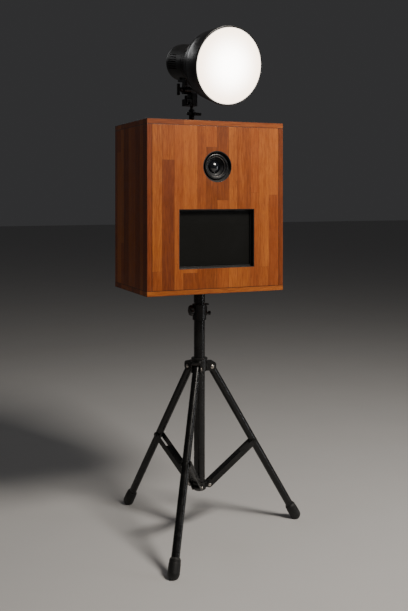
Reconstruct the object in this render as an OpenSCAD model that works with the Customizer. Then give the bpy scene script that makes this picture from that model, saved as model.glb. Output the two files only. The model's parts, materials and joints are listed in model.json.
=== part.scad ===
// Photo booth: a wooden cabinet with a camera port and a screen, carried by a folding
// speaker-type tripod, with a studio lamp on a tilting bracket on top of the cabinet.
// Millimetres, +Z up. The origin is on the floor under the mast. The booth faces -Y.

/* [Cabinet] */
// Outside width of the cabinet
box_w = 520; // [420:5:640]
// Outside depth of the cabinet
box_d = 350; // [300:5:440]
// Outside height of the cabinet
box_h = 600; // [540:5:720]
// Thickness of the glued boards
board_t = 18; // [15:1:22]
// Distance of the mast's axis behind the cabinet's front
mast_back = 158; // [120:1:200]
// Gap round the rear door
door_gap = 1.5; // [1:0.5:3]

/* [Front openings] */
// Diameter of the camera port
port_d = 109; // [100:1:125]
// Height of the camera port's centre over the cabinet's underside
port_up = 441; // [420:1:470]
// Width of the screen opening
screen_w = 287; // [240:1:340]
// Height of the screen opening
screen_h = 205; // [160:1:225]
// Height of the opening's sill over the cabinet's underside
screen_up = 88; // [70:1:110]

/* [Stand] */
// Outside diameter of the main tube
tube_d = 40; // [38:0.5:44]
// Wall of the main tube
tube_wall = 1.8; // [1.5:0.1:2]
// Length of the main tube
tube_len = 656; // [620:1:760]
// Outside diameter of the sliding mast
mast_d = 35; // [34:0.5:36]
// Wall of the sliding mast
mast_wall = 2; // [1.5:0.1:3]
// Length of mast below the cabinet's socket
mast_show = 55; // [50:1:160]
// How far the mast can be raised
mast_travel = 450; // [200:50:450]
// Outside diameter of a leg
leg_d = 28; // [24:1:30]
// Wall of a leg
leg_wall = 1.6; // [1.2:0.1:2.5]
// Leg length, from its pivot to the floor along its axis
leg_len = 692; // [600:1:740]
// Angle of an open leg from the mast
leg_angle = 30; // [24:0.5:31]
// Angle of a folded leg from the mast
folded_angle = 1.5; // [1.5:0.5:4]
// Distance from the leg pivot to the brace pivot, along the leg
brace_at = 332; // [320:1:350]
// Distance between a brace's two pivots
brace_len = 226; // [215:1:235]
// Direction of the first leg, from the +X axis
stand_turn = -6; // [-30:1:30]
// Diameter of a rubber foot
foot_d = 40; // [36:1:46]
// Length of a rubber foot
foot_len = 62; // [60:1:90]

/* [Lamp] */
// Distance of the lamp's post behind the cabinet's front
post_back = 231; // [200:1:260]
// Turn of the lamp about its spigot
lamp_pan = 8; // [0:1:20]
// Downward tilt of the lamp
lamp_tilt = 10; // [0:1:20]
// Diameter of the lamp housing
housing_d = 138; // [125:1:145]
// Diameter over the reflector's rim
rim_d = 276; // [240:1:300]
// Depth of the reflector, from its neck to its rim
reflector_len = 183; // [150:1:200]

/* [Hidden] */
$fn = 96;

// clearances
run_fit = 0.08;       // radial, between a pin and what turns on it
slide_gap = 0.3;      // between faces that pass each other
side_gap = 0.6;       // between a leg and the plates beside it

// stand, worked out from the floor up
steel_t = 3;                                       // plates of the hubs and braces
tube_r = tube_d / 2;
tube_bore_r = tube_r - tube_wall;
mast_r = mast_d / 2;
mast_bore_r = mast_r - mast_wall;
leg_r = leg_d / 2;
hub_r = tube_r + 8;                                // ring of the leg hub
low_ring_r = tube_r + 4;                           // ring of the lower hub
leg_pivot_r = hub_r + 2 + leg_r;                   // leg pivots, from the mast's axis
low_lug_r = 9;                                     // round end of a lower lug
brace_pivot_r = tube_r + 5 + low_lug_r;            // brace pivots on the lower hub
pivot_pin_r = 4;
cheek_in = leg_r + 0.5;                            // inner face of a brace's cheeks
cheek_out = cheek_in + steel_t;
cheek_w = 20;                                      // width of a brace
hub_z = leg_len * cos(leg_angle);                  // height of the leg pivots
mid_r = leg_pivot_r + brace_at * sin(leg_angle);
mid_z = hub_z - brace_at * cos(leg_angle);
brace_angle = asin((mid_r - brace_pivot_r) / brace_len);
low_z = mid_z - brace_len * cos(brace_angle);      // height of the lower pivots
tube_z = round(low_z - 12);                        // bottom of the main tube
tube_top = tube_z + tube_len;
collar_r = tube_r + 5;
collar_over = 15;                                  // collar above the tube's end
collar_len = 57;
collar_top = tube_top + collar_over;
collar_z = collar_top - collar_len;
bush_r_out = tube_r + 1;                            // the bush stands on the tube's end
clamp_z = collar_top - 23;                         // clamp screw
pin_z = collar_top - 36;                           // height pin
hole_pitch = 50;
box_z = collar_top + mast_show;                    // underside of the cabinet
box_top = box_z + box_h;
leg_turns = [stand_turn, stand_turn + 120, stand_turn + 240];
hub_knob_turn = stand_turn + 60;                   // the hub's knob, between two legs
hub_knob_z = hub_z + 12;

// feet
sole_r = 12;                                       // flat part of a foot's sole
foot_r = foot_d / 2;
ball_z = sqrt(foot_r * foot_r - sole_r * sole_r);  // centre of the ball end over the floor
ball_at = (hub_z - ball_z) / cos(leg_angle);       // along the leg's axis

// cabinet
in_w = box_w - 2 * board_t;
in_h = box_h - 2 * board_t;
front_y = -mast_back;
back_y = box_d - mast_back;
panel_y = front_y + board_t;                       // back of the front panel
floor_z = box_z + board_t;                         // inside floor of the cabinet
port_z = box_z + port_up;
screen_z = box_z + screen_up;
socket_wall = 3;
socket_r = mast_r + run_fit + socket_wall;
socket_gap = 5;                                    // between the socket and the collar
socket_skirt = mast_show - socket_gap;             // socket below the cabinet
socket_top = floor_z + 100;
flange_w = 120;
flange_t = 3;
screw_r = 2;

// screen
liner_t = 2;
bezel_lip = 7;
bezel_t = 3;
bezel_over = 16;                                   // bezel behind the panel, past the opening
monitor_t = 24;
glass_t = 2;
monitor_w = screen_w + 14;
monitor_h = screen_h + 12;
monitor_y = panel_y + bezel_t;                     // front of the monitor
screen_mid_z = screen_z + screen_h / 2;

// camera
lens_d = 88;
lens_back = 7;                                     // lens behind the panel's face
lens_len = 84;
lens_y = front_y + lens_back;
camera_w = 138;
camera_h = 100;
camera_t = 62;
camera_y = lens_y + lens_len;
shelf_t = 12;
shelf_z = port_z - camera_h / 2;
shelf_d = 230;

// door
door_w = in_w - 2 * door_gap;
door_h = in_h - 2 * door_gap;
door_y = back_y - board_t;
knuckle_r = 4;
hinge_x = in_w / 2 - door_gap / 2;
hinge_y = back_y + knuckle_r;
hinge_len = 75;
hinge_up = [90, box_h - 90];                       // hinge centres over the underside
leaf_t = 2;
lock_x = -door_w / 2 + 28;
lock_z = box_z + box_h / 2;
lock_r = 9;
cam_len = 26;

// lamp post and bracket
post_r = 10;
post_h = 61;
spigot_r = 8;
neck_r = 6;
neck_h = 12;
block_z = post_h + neck_h;                         // bracket's underside over the cabinet
block_h = 48;
block_d = 34;
spigot_in = 36;                                    // spigot inside the bracket
tilt_up = block_z + block_h + 12;                  // tilt axis over the cabinet
boss_r = 16;
boss_in = -10;                                     // boss of the bracket, across the lamp
boss_out = 15;
arm_w = 27;
arm_out = boss_in - slide_gap - arm_w;             // outer face of the lamp's arm
bolt_r = 5;                                        // tilt bolt
axis_up = 31 + housing_d / 2;                      // lamp's axis over the tilt axis
wing_z = 43;                                       // wing screw over the cabinet

// lamp, along its own axis: t runs forward from over the tilt axis
rear_t = -98;
housing_t = 20;                                    // front of the housing
ring_t = 48;                                       // front of the lock ring
neck_t = 60;                                       // back of the reflector
rim_t = neck_t + reflector_len;
housing_r = housing_d / 2;
panel_r = housing_r - 16;                          // plug-in panel at the back
shell_t = 2.5;
sheet_t = 1.6;
rim_r = rim_d / 2;
lip_w = 6;
diffuser_r = rim_r - lip_w + 2 - sheet_t - slide_gap;  // inside the bowl's rim

// lower hub and height pin
low_ring_h = 27;                                    // ring, standing 3 over the lugs
pin_travel = 8;
clamp_screw_r = 5;
star_t = 12;                                       // grip of the clamp knob

// leg hub
hub_low = 13;                                      // hub below the pivots
hub_high = 34;                                     // hub above the pivots
bush_r = tube_r + 2.5;                             // outside of the hub's bush
hub_screw_r = 4;
clevis_reach = 15;                                 // clevis beyond the leg pivot
clevis_top = leg_r + 5;                            // clevis above the leg pivot
clevis_corner = 12;

// brace web, from the lower pivot
web_from = 16;
web_short = 62;                                    // web ends this far below the leg's rivet

// mast
mast_top = socket_top - steel_t - slide_gap;
mast_bottom = tube_top - mast_travel - 110;
plug_t = 14;

// sockets, flanges and the mains inlet
socket_screw_xy = [for (x = [-1, 1], y = [-1, 1]) [x * (flange_w / 2 - 12), y * (flange_w / 2 - 12)]];
post_flange_r = 26;
post_flange_t = 4;
post_screw_xy = [for (a = [45 : 90 : 315]) [(post_flange_r - 7) * cos(a), (post_flange_r - 7) * sin(a)]];
inlet_y = back_y - 70;
inlet_z = floor_z + 60;

// zoom ring, behind the front of the lens
throat_r = lens_d / 2 - 6;                         // lens mount in the camera's face
camera_screw_r = 3.2;
body_h = camera_h - 26;                            // camera below its hump
zoom_from = 22;
zoom_to = 50;

// power strip
strip_w = 260;
strip_y = back_y - board_t - 75;

// door hinges and lock
hinge_pin_r = 1.5;
knuckles = 5;                                      // of both leaves together
knuckle_h = hinge_len / knuckles;

// umbrella holder and tilt lever
umb_x = -22;                                       // umbrella holder beside the block
umb_z = block_z + 11;
umb_r = 5;
umb_w = 24;
umb_h = 25;
umb_screw_r = 3;
wing_screw_r = 3;                                  // screw that clamps the spigot
lever_x = arm_out - slide_gap;

// lamp details
saddle_z = axis_up - housing_r;
slot_t = rear_t + 27;                              // cooling slots
slot_len = 52;
slot_w = 3.6;
sleeve_r = housing_r - 7;                          // sleeve that the lock ring turns on
dial_r = 15;
dial_y = -18;                                      // below the lamp's axis
dial_stem_r = 3;
neck_r_out = housing_r + 2;                        // bowl at its neck
bowl_r_out = rim_r - lip_w + 2;                    // bowl at its rim
bowl_from = 18;
bowl_steps = 22;
bowl_len = reflector_len - 10;
crown = 5;
crown_r = (diffuser_r * diffuser_r + crown * crown) / (2 * crown);

// ---------------------------------------------------------------- helpers

module tube(r_out, r_in, h) {
    difference() {
        cylinder(h = h, r = r_out);
        translate([0, 0, -1]) cylinder(h = h + 2, r = r_in);
    }
}

// a cylinder along +X from x0 to x1
module xcyl(r, x0, x1) {
    translate([x0, 0, 0]) rotate([0, 90, 0]) cylinder(h = x1 - x0, r = r);
}

// a cylinder along Y from y0 to y1
module ycyl(r, y0, y1) {
    translate([0, y1, 0]) rotate([90, 0, 0]) cylinder(h = y1 - y0, r = r);
}

// a box given by two corners
module block(a, b) {
    translate(a) cube(b - a);
}

// a box with its upright edges rounded
module round_block(w, d, h, r) {
    linear_extrude(h) union() {
        square([w - 2 * r, d], center = true);
        square([w, d - 2 * r], center = true);
        for (x = [-1, 1], y = [-1, 1]) translate([x * (w / 2 - r), y * (d / 2 - r)]) circle(r);
    }
}

// a plate in the leg's plane: 2D x is radial and 2D y is height
module side_plate(y0, y1) {
    translate([0, y1, 0]) rotate([90, 0, 0]) linear_extrude(y1 - y0) children();
}

// a strip with round ends between two points
module strip(a, b, w) {
    d = b - a;
    translate(a) circle(w / 2);
    translate(b) circle(w / 2);
    translate(a) rotate(atan2(d[1], d[0])) translate([0, -w / 2]) square([norm(d), w]);
}

// a star grip for a clamp screw, along +X, from x0
module star_grip(r, x0, len, lobes) {
    translate([x0, 0, 0]) rotate([0, 90, 0]) union() {
        linear_extrude(len) union() {
            circle(r * 0.84);
            for (i = [0 : lobes - 1]) rotate(i * 360 / lobes) translate([r * 0.74, 0]) circle(r * 0.26);
        }
        cylinder(h = len + 2, r = r * 0.6);
    }
}

// along one leg: local x is radial outward, with the pivot at its place
module at_leg(i) {
    rotate([0, 0, leg_turns[i]]) children();
}

// the frame of a leg: z runs down the leg from its pivot
module leg_frame(i) {
    at_leg(i) translate([leg_pivot_r, 0, hub_z]) rotate([0, 180 - leg_angle, 0]) children();
}

// the lamp's frames
module at_post() { translate([0, front_y + post_back, box_top]) children(); }
module at_bracket() { at_post() rotate([0, 0, lamp_pan]) children(); }
module at_tilt() { at_bracket() translate([0, 0, tilt_up]) children(); }
module at_head() { at_tilt() rotate([lamp_tilt, 0, 0]) children(); }
// z runs forward along the lamp's axis, and x to the lamp's side
module at_axis() { at_head() translate([0, 0, axis_up]) rotate([90, 0, 0]) children(); }

// ---------------------------------------------------------------- stand

module main_tube() color("#141414") difference() {
    translate([0, 0, tube_z]) tube(tube_r, tube_bore_r, tube_len);
    translate([0, 0, clamp_z]) xcyl(clamp_screw_r + 0.4, -tube_d, 0);
    translate([0, 0, pin_z]) xcyl(pivot_pin_r + 0.3, 0, tube_d);
}

// casting at the foot of the tube, with a closed round bottom and three lugs
module lower_hub() color("#161616") difference() {
    union() {
        translate([0, 0, tube_z - 3]) cylinder(h = low_ring_h, r = low_ring_r);
        translate([0, 0, tube_z - 7]) cylinder(h = 4, r1 = low_ring_r - 5, r2 = low_ring_r);
        for (i = [0 : 2]) at_leg(i) {
            side_plate(-leg_r + 0.5, leg_r - 0.5)
                strip([low_ring_r - 6, low_z], [brace_pivot_r, low_z], 2 * low_lug_r);
        }
    }
    translate([0, 0, tube_z]) cylinder(h = 40, r = tube_r);
    for (i = [0 : 2]) at_leg(i) translate([brace_pivot_r, 0, low_z]) ycyl(pivot_pin_r, -leg_d, leg_d);
}

module pin_with_heads(half, head_r, head_t) {
    ycyl(pivot_pin_r, -half, half);
    for (s = [-1, 1]) translate([0, s * (half + head_t / 2), 0])
        ycyl(head_r, -head_t / 2, head_t / 2);
}

module lower_hub_pins() color("#b8b8b8")
    for (i = [0 : 2]) at_leg(i) translate([brace_pivot_r, 0, low_z])
        pin_with_heads(cheek_out + slide_gap, 6, 2.5);

module clamp_collar() color("#111111") difference() {
    union() {
        translate([0, 0, collar_z]) cylinder(h = collar_len, r = collar_r);
        translate([0, 0, collar_z + collar_len - 6]) cylinder(h = 4, r = collar_r + 1.5);
        translate([0, 0, clamp_z]) xcyl(12, -collar_r - 2, 0);
        block([collar_r - 3, -9, collar_top - 5], [collar_r + 9, 9, collar_top]);
        translate([0, 0, pin_z]) xcyl(9, 0, collar_r + 4);
        block([0, -5, pin_z], [collar_r + 4, 5, collar_top - 8]);
    }
    translate([0, 0, collar_z - 1]) cylinder(h = tube_top - collar_z + 1, r = tube_r);
    translate([0, 0, tube_top - 1]) cylinder(h = collar_over - 1, r = bush_r_out);
    translate([0, 0, tube_top]) cylinder(h = collar_over + 1, r = mast_r + 1);
    translate([0, 0, clamp_z]) xcyl(clamp_screw_r + run_fit, -collar_r - 10, 0);
    translate([0, 0, pin_z]) xcyl(pivot_pin_r + run_fit, 0, collar_r + 10);
}

module mast_bush() color("#202020") translate([0, 0, tube_top])
    tube(bush_r_out, mast_r + run_fit, collar_over - 2);

module clamp_knob() color("#0e0e0e") translate([0, 0, clamp_z]) rotate([0, 0, 180]) union() {
    xcyl(clamp_screw_r, mast_r + slide_gap, collar_r + 8);
    star_grip(20, collar_r + 2 + slide_gap, star_t, 7);
}

module height_pin() color("#2a2a2a") translate([0, 0, pin_z]) union() {
    xcyl(pivot_pin_r, mast_r + slide_gap, collar_r + 6 + pin_travel);
    xcyl(8, collar_r + 4 + pin_travel + slide_gap, collar_r + 4 + pin_travel + 6);
}

// ---------------------------------------------------------------- leg hub

// folded plate over a leg's eye, open below and outward, with a rounded top corner
module clevis() {
    outer = leg_pivot_r + clevis_reach;
    half = leg_r + side_gap;
    difference() {
        side_plate(-half - steel_t, half + steel_t) translate([0, hub_z]) union() {
            translate([leg_pivot_r, 0]) circle(clevis_reach);
            translate([tube_r + 3, -hub_low]) square([leg_pivot_r - tube_r - 3, hub_low + clevis_top]);
            translate([tube_r + 3, 0]) square([outer - clevis_corner - tube_r - 3, clevis_top]);
            translate([tube_r + 3, 0]) square([outer - tube_r - 3, clevis_top - clevis_corner]);
            translate([outer - clevis_corner, clevis_top - clevis_corner]) circle(clevis_corner);
        }
        side_plate(-half, half) translate([hub_r - 2, hub_z - 2 * hub_low])
            square([leg_d + leg_pivot_r, 2 * hub_low + clevis_top - steel_t - 0.5]);
    }
}

module leg_hub() color("#121212") difference() {
    union() {
        translate([0, 0, hub_z - hub_low]) cylinder(h = hub_low + hub_high, r = hub_r);
        translate([0, 0, hub_z + hub_high - 5]) cylinder(h = 3, r = hub_r + 2);
        for (i = [0 : 2]) at_leg(i) clevis();
        rotate([0, 0, hub_knob_turn]) translate([0, 0, hub_knob_z]) xcyl(10, 0, hub_r + 8);
    }
    translate([0, 0, hub_z - hub_low - 1]) cylinder(h = hub_low + hub_high + 2, r = bush_r);
    for (i = [0 : 2]) at_leg(i) translate([leg_pivot_r, 0, hub_z]) ycyl(pivot_pin_r, -leg_d, leg_d);
    rotate([0, 0, hub_knob_turn]) translate([0, 0, hub_knob_z]) xcyl(hub_screw_r + run_fit, 0, hub_r + 20);
}

module hub_bush() color("#2b2b2b") difference() {
    translate([0, 0, hub_z - hub_low]) tube(bush_r, tube_r + run_fit, hub_low + hub_high);
    rotate([0, 0, hub_knob_turn]) translate([0, 0, hub_knob_z]) xcyl(hub_screw_r + run_fit, 0, hub_r + 20);
}

module leg_pivot_bolts() color("#a8a8a8")
    for (i = [0 : 2]) at_leg(i) translate([leg_pivot_r, 0, hub_z])
        pin_with_heads(leg_r + side_gap + steel_t, 7, 3);

module hub_knob() color("#0e0e0e") rotate([0, 0, hub_knob_turn]) translate([0, 0, hub_knob_z]) union() {
    xcyl(hub_screw_r, tube_r + slide_gap, hub_r + 14);
    star_grip(15, hub_r + 8 + slide_gap, 11, 6);
}

// ---------------------------------------------------------------- legs

// tube with a solid eye at its pivot and a rivet where the brace joins it
module leg(i) {
    color("#151515") difference() {
        leg_frame(i) union() {
            cylinder(h = ball_at, r = leg_r);
            intersection() {
                ycyl(leg_r, -leg_r, leg_r);
                translate([0, 0, -leg_r]) cylinder(h = 2 * leg_r, r = leg_r);
            }
        }
        leg_frame(i) translate([0, 0, 20]) cylinder(h = ball_at, r = leg_r - leg_wall);
        leg_frame(i) ycyl(pivot_pin_r + run_fit, -leg_d, leg_d);
        leg_frame(i) translate([0, 0, brace_at]) ycyl(pivot_pin_r, -leg_d, leg_d);
    }
    color("#9a9a9a") leg_frame(i) translate([0, 0, brace_at])
        ycyl(pivot_pin_r, -leg_r + 0.4, leg_r - 0.4);
}

// rubber foot: a sleeve with a ball end, worn flat on the floor
module foot(i) color("#101010") difference() {
    union() {
        leg_frame(i) translate([0, 0, ball_at - foot_len + foot_r])
            cylinder(h = foot_len - foot_r, r = foot_r);
        leg_frame(i) translate([0, 0, ball_at - foot_len + foot_r - 5])
            cylinder(h = 5, r1 = leg_r + 2.5, r2 = foot_r);
        leg_frame(i) translate([0, 0, ball_at]) sphere(r = foot_r);
    }
    leg_frame(i) translate([0, 0, ball_at - foot_len]) cylinder(h = foot_len, r = leg_r);
    translate([-2000, -2000, -100]) cube([4000, 4000, 100]);
}

// two cheeks joined by a web, with the brace's frame at its lower pivot
module brace(i) at_leg(i) translate([brace_pivot_r, 0, low_z]) rotate([0, brace_angle, 0]) {
    color("#141414") difference() {
        union() {
            for (s = [-1, 1]) translate([0, s * (cheek_in + steel_t / 2), 0])
                side_plate(-steel_t / 2, steel_t / 2) strip([0, 0], [0, brace_len], cheek_w);
            block([-cheek_w / 2, -cheek_in - 0.5, web_from],
                  [-cheek_w / 2 + 2, cheek_in + 0.5, brace_len - web_short]);
        }
        ycyl(pivot_pin_r + run_fit, -leg_d, leg_d);
    }
    color("#a0a0a0") for (s = [-1, 1]) translate([0, s * (cheek_out + 1.25), brace_len])
        ycyl(6, -1.25, 1.25);
}

// ---------------------------------------------------------------- mast

module inner_mast() color("#1b1b1b") difference() {
    translate([0, 0, mast_bottom]) tube(mast_r, mast_bore_r, mast_top - mast_bottom);
    for (k = [0 : mast_travel / hole_pitch]) translate([0, 0, pin_z - k * hole_pitch])
        xcyl(pivot_pin_r + 0.4, -mast_d, mast_d);
}

module mast_plugs() color("#2b2b2b") {
    translate([0, 0, mast_bottom - 4]) cylinder(h = 4, r = tube_bore_r - run_fit);
    translate([0, 0, mast_bottom]) cylinder(h = plug_t, r = mast_bore_r);
    translate([0, 0, mast_top - plug_t]) cylinder(h = plug_t, r = mast_bore_r);
}

// ---------------------------------------------------------------- cabinet

module screw_at(p) {
    translate(p) union() {
        cylinder(h = 2, r = screw_r + 2.2);
        translate([0, 0, -10]) cylinder(h = 11, r = screw_r);
    }
}

module pole_socket() color("#1a1a1a") difference() {
    union() {
        translate([0, 0, box_z - socket_skirt]) cylinder(h = socket_top - box_z + socket_skirt, r = socket_r);
        translate([0, 0, box_z - 5]) cylinder(h = 5, r = socket_r + 2.5);
        translate([0, 0, floor_z]) round_block(flange_w, flange_w, flange_t, 8);
    }
    translate([0, 0, box_z - socket_skirt - 1])
        cylinder(h = socket_top - steel_t - box_z + socket_skirt + 1, r = mast_r + run_fit);
    for (p = socket_screw_xy) translate([p[0], p[1], floor_z - 1]) cylinder(h = 10, r = screw_r);
}

module cabinet_screws() color("#8c8c8c") {
    for (p = socket_screw_xy) screw_at([p[0], p[1], floor_z + flange_t]);
    at_post() for (p = post_screw_xy) screw_at([p[0], p[1], post_flange_t]);
}

module screw_pilots() {
    for (p = socket_screw_xy) translate([p[0], p[1], floor_z - 12]) cylinder(h = 20, r = screw_r);
    at_post() for (p = post_screw_xy) translate([p[0], p[1], -12]) cylinder(h = 20, r = screw_r);
}

module top_board() color("#a8561c") difference() {
    block([-box_w / 2, front_y, box_top - board_t], [box_w / 2, back_y, box_top]);
    screw_pilots();
}

module bottom_board() color("#a8561c") difference() {
    block([-box_w / 2, front_y, box_z], [box_w / 2, back_y, floor_z]);
    translate([0, 0, box_z - 1]) cylinder(h = board_t + 2, r = socket_r + slide_gap);
    screw_pilots();
}

module left_side() color("#9a4d18")
    block([-box_w / 2, front_y, floor_z], [-in_w / 2, back_y, box_top - board_t]);

module right_side() color("#9a4d18") difference() {
    block([in_w / 2, front_y, floor_z], [box_w / 2, back_y, box_top - board_t]);
    block([in_w / 2 - 1, inlet_y - 14, inlet_z - 10], [box_w / 2 + 1, inlet_y + 14, inlet_z + 10]);
}

module front_panel() color("#b05c20") difference() {
    block([-in_w / 2, front_y, floor_z], [in_w / 2, panel_y, box_top - board_t]);
    translate([0, 0, port_z]) ycyl(port_d / 2, front_y - 1, panel_y + 1);
    block([-screen_w / 2, front_y - 1, screen_z], [screen_w / 2, panel_y + 1, screen_z + screen_h]);
}

// a frame that lines the opening and holds the monitor's edge
module screen_bezel() color("#0c0c0c") difference() {
    union() {
        block([-screen_w / 2, front_y + 1, screen_z], [screen_w / 2, panel_y, screen_z + screen_h]);
        block([-screen_w / 2 - bezel_over, panel_y, screen_z - bezel_over],
              [screen_w / 2 + bezel_over, panel_y + bezel_t, screen_z + screen_h + bezel_over]);
    }
    block([-screen_w / 2 + liner_t, front_y - 1, screen_z + liner_t],
          [screen_w / 2 - liner_t, panel_y, screen_z + screen_h - liner_t]);
    block([-screen_w / 2 + bezel_lip, front_y - 1, screen_z + bezel_lip],
          [screen_w / 2 - bezel_lip, panel_y + bezel_t + 1, screen_z + screen_h - bezel_lip]);
}

module monitor_case() color("#151515") difference() {
    translate([0, monitor_y, screen_mid_z]) rotate([-90, 0, 0])
        round_block(monitor_w, monitor_h, monitor_t, 8);
    block([-screen_w / 2 + 2, monitor_y - 1, screen_z + 2],
          [screen_w / 2 - 2, monitor_y + glass_t, screen_z + screen_h - 2]);
    for (i = [-8 : 8]) block([i * 9 - 1.5, monitor_y + monitor_t - 3, screen_mid_z + 50],
                             [i * 9 + 1.5, monitor_y + monitor_t + 1, screen_mid_z + 80]);
}

module screen_glass() color("#101214")
    block([-screen_w / 2 + 2, monitor_y, screen_z + 2],
          [screen_w / 2 - 2, monitor_y + glass_t, screen_z + screen_h - 2]);

// four Z-shaped clips screwed to the back of the front panel
module monitor_clips() color("#b0b0b0")
    for (x = [-1, 1], z = [-70, 70]) translate([0, 0, screen_mid_z + z]) mirror([x < 0 ? 1 : 0, 0, 0])
        difference() {
            union() {
                block([monitor_w / 2 - 14, monitor_y + monitor_t, -9],
                      [monitor_w / 2 + 5, monitor_y + monitor_t + 2, 9]);
                block([monitor_w / 2 + 3, panel_y + bezel_t, -9],
                      [monitor_w / 2 + 5, monitor_y + monitor_t, 9]);
                block([monitor_w / 2 + 3, panel_y + bezel_t, -9],
                      [monitor_w / 2 + 24, panel_y + bezel_t + 2, 9]);
                block([screen_w / 2 + bezel_over + 0.2, panel_y, -9],
                      [monitor_w / 2 + 24, panel_y + bezel_t, 9]);
            }
            translate([monitor_w / 2 + 17, 0, 0]) ycyl(2, panel_y - 1, panel_y + 20);
        }

// ---------------------------------------------------------------- camera

module port_liner() color("#0d0d0d") translate([0, 0, port_z]) difference() {
    union() {
        ycyl(port_d / 2, front_y + 0.5, panel_y);
        ycyl(port_d / 2 + 10, panel_y, panel_y + 3);
        ycyl(port_d / 2 - 1, panel_y, panel_y + 14);
    }
    ycyl(port_d / 2 - 2, front_y - 1, front_y + 6);
    ycyl(port_d / 2 - 4, front_y - 1, front_y + 12);
    ycyl(lens_d / 2 + 3, front_y - 1, panel_y + 20);
}

module camera_shelf() color("#7a4418") difference() {
    block([-in_w / 2, panel_y + 20, shelf_z - shelf_t], [in_w / 2, panel_y + 20 + shelf_d, shelf_z]);
    translate([0, camera_y + camera_t / 2, shelf_z - shelf_t - 1])
        cylinder(h = shelf_t + 2, r = camera_screw_r + 0.2);
    for (x = [-150, 150]) translate([x, 60, shelf_z - shelf_t - 1]) cylinder(h = shelf_t + 2, r = 22);
}

// body with a grip, a prism hump and a screw from under the shelf
module camera_body() color("#121212") {
    difference() {
        union() {
            translate([0, camera_y + camera_t / 2, shelf_z]) round_block(camera_w, camera_t, body_h, 9);
            translate([-camera_w / 2 + 14, camera_y + camera_t / 2 - 12, shelf_z])
                round_block(28, camera_t, body_h, 11);
            translate([0, camera_y + camera_t / 2 + 3, shelf_z + body_h])
                round_block(56, camera_t - 12, 22, 8);
        }
        translate([0, 0, port_z]) ycyl(throat_r, camera_y - 1, camera_y + 6);
        translate([0, camera_y + camera_t / 2, shelf_z - 1]) cylinder(h = 10, r = camera_screw_r);
    }
    translate([0, camera_y + camera_t / 2, shelf_z - shelf_t]) cylinder(h = shelf_t + 9, r = camera_screw_r);
    translate([0, camera_y + camera_t / 2, shelf_z - shelf_t - 7]) cylinder(h = 7, r = 11);
    translate([-camera_w / 2 + 16, camera_y + 4, shelf_z + body_h]) cylinder(h = 4, r = 6);
}

// barrel: profile of radius against distance behind the lens's front
module lens_barrel() color("#0f0f0f") translate([0, lens_y, port_z]) rotate([-90, 0, 0]) rotate_extrude()
    polygon([[lens_d / 2 - 2, 0], [lens_d / 2, 2], [lens_d / 2, 16], [lens_d / 2 - 3, 18],
        [lens_d / 2 - 3, 52], [lens_d / 2 - 1, 54], [lens_d / 2 - 3, lens_len - 10],
            [throat_r - run_fit, lens_len - 8],
        [throat_r - run_fit, lens_len + 6], [20, lens_len + 6], [20, 40], [31, 20], [31, 13],
        [32, 12], [33, 7], [36, 7], [36.5, 4], [38.5, 4], [39, 0]]);

module lens_glass() color("#0a0d12") translate([0, lens_y, port_z]) rotate([-90, 0, 0]) rotate_extrude()
    intersection() {
        translate([0, 74]) circle(r = 66);
        translate([0, 7]) square([31, 13]);
    }

module zoom_ring() color("#161616") translate([0, lens_y, port_z]) rotate([-90, 0, 0]) difference() {
    translate([0, 0, zoom_from]) cylinder(h = zoom_to - zoom_from, r = lens_d / 2);
    translate([0, 0, zoom_from - 1]) cylinder(h = zoom_to - zoom_from + 2, r = lens_d / 2 - 3 + run_fit);
    for (i = [0 : 35]) rotate([0, 0, i * 10]) translate([lens_d / 2 - 1, -1.2, zoom_from + 5])
        cube([3, 2.4, zoom_to - zoom_from - 10]);
}

// ---------------------------------------------------------------- power

module power_strip() color("#d8d8d4") difference() {
    translate([-40, strip_y, floor_z]) round_block(strip_w, 52, 42, 8);
    for (i = [0 : 4]) translate([-40 + (i - 2) * 46, strip_y, floor_z + 32]) {
        for (x = [-6.5, 6.5]) translate([x - 1, -2, 0]) cube([2, 8, 12]);
        translate([0, -9, 0]) cylinder(h = 12, r = 2.4);
    }
}

module mains_inlet() color("#101010") difference() {
    union() {
        block([box_w / 2, inlet_y - 20, inlet_z - 15], [box_w / 2 + 3, inlet_y + 20, inlet_z + 15]);
        block([in_w / 2 - 18, inlet_y - 14, inlet_z - 10], [box_w / 2, inlet_y + 14, inlet_z + 10]);
    }
    block([box_w / 2 - 16, inlet_y - 12, inlet_z - 8], [box_w / 2 + 4, inlet_y + 12, inlet_z + 8]);
}

// ---------------------------------------------------------------- rear door

module knuckle_set(first) {
    for (z = hinge_up) translate([hinge_x, hinge_y, box_z + z - hinge_len / 2])
        for (k = [first : 2 : knuckles - 1]) translate([0, 0, k * knuckle_h + (k > 0 ? slide_gap / 2 : 0)])
            difference() {
                cylinder(h = knuckle_h - (k > 0 ? slide_gap : slide_gap / 2), r = knuckle_r, $fn = 48);
                translate([0, 0, -1])
                    cylinder(h = knuckle_h + 2, r = hinge_pin_r + (first == 1 ? run_fit : 0), $fn = 48);
            }
}

// the leaf is cut away where the other leaf's knuckles turn
module leaf(x0, x1, first) {
    for (z = hinge_up) difference() {
        block([x0, back_y, box_z + z - hinge_len / 2], [x1, back_y + leaf_t, box_z + z + hinge_len / 2]);
        for (k = [1 - first : 2 : knuckles - 1])
            block([hinge_x - knuckle_r - 1, back_y - 1,
                   box_z + z - hinge_len / 2 + k * knuckle_h - slide_gap / 2],
                  [hinge_x + knuckle_r + 1, back_y + 6,
                   box_z + z - hinge_len / 2 + (k + 1) * knuckle_h + slide_gap / 2]);
        translate([hinge_x, hinge_y, box_z]) cylinder(h = box_h, r = knuckle_r - 1);
    }
}

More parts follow.
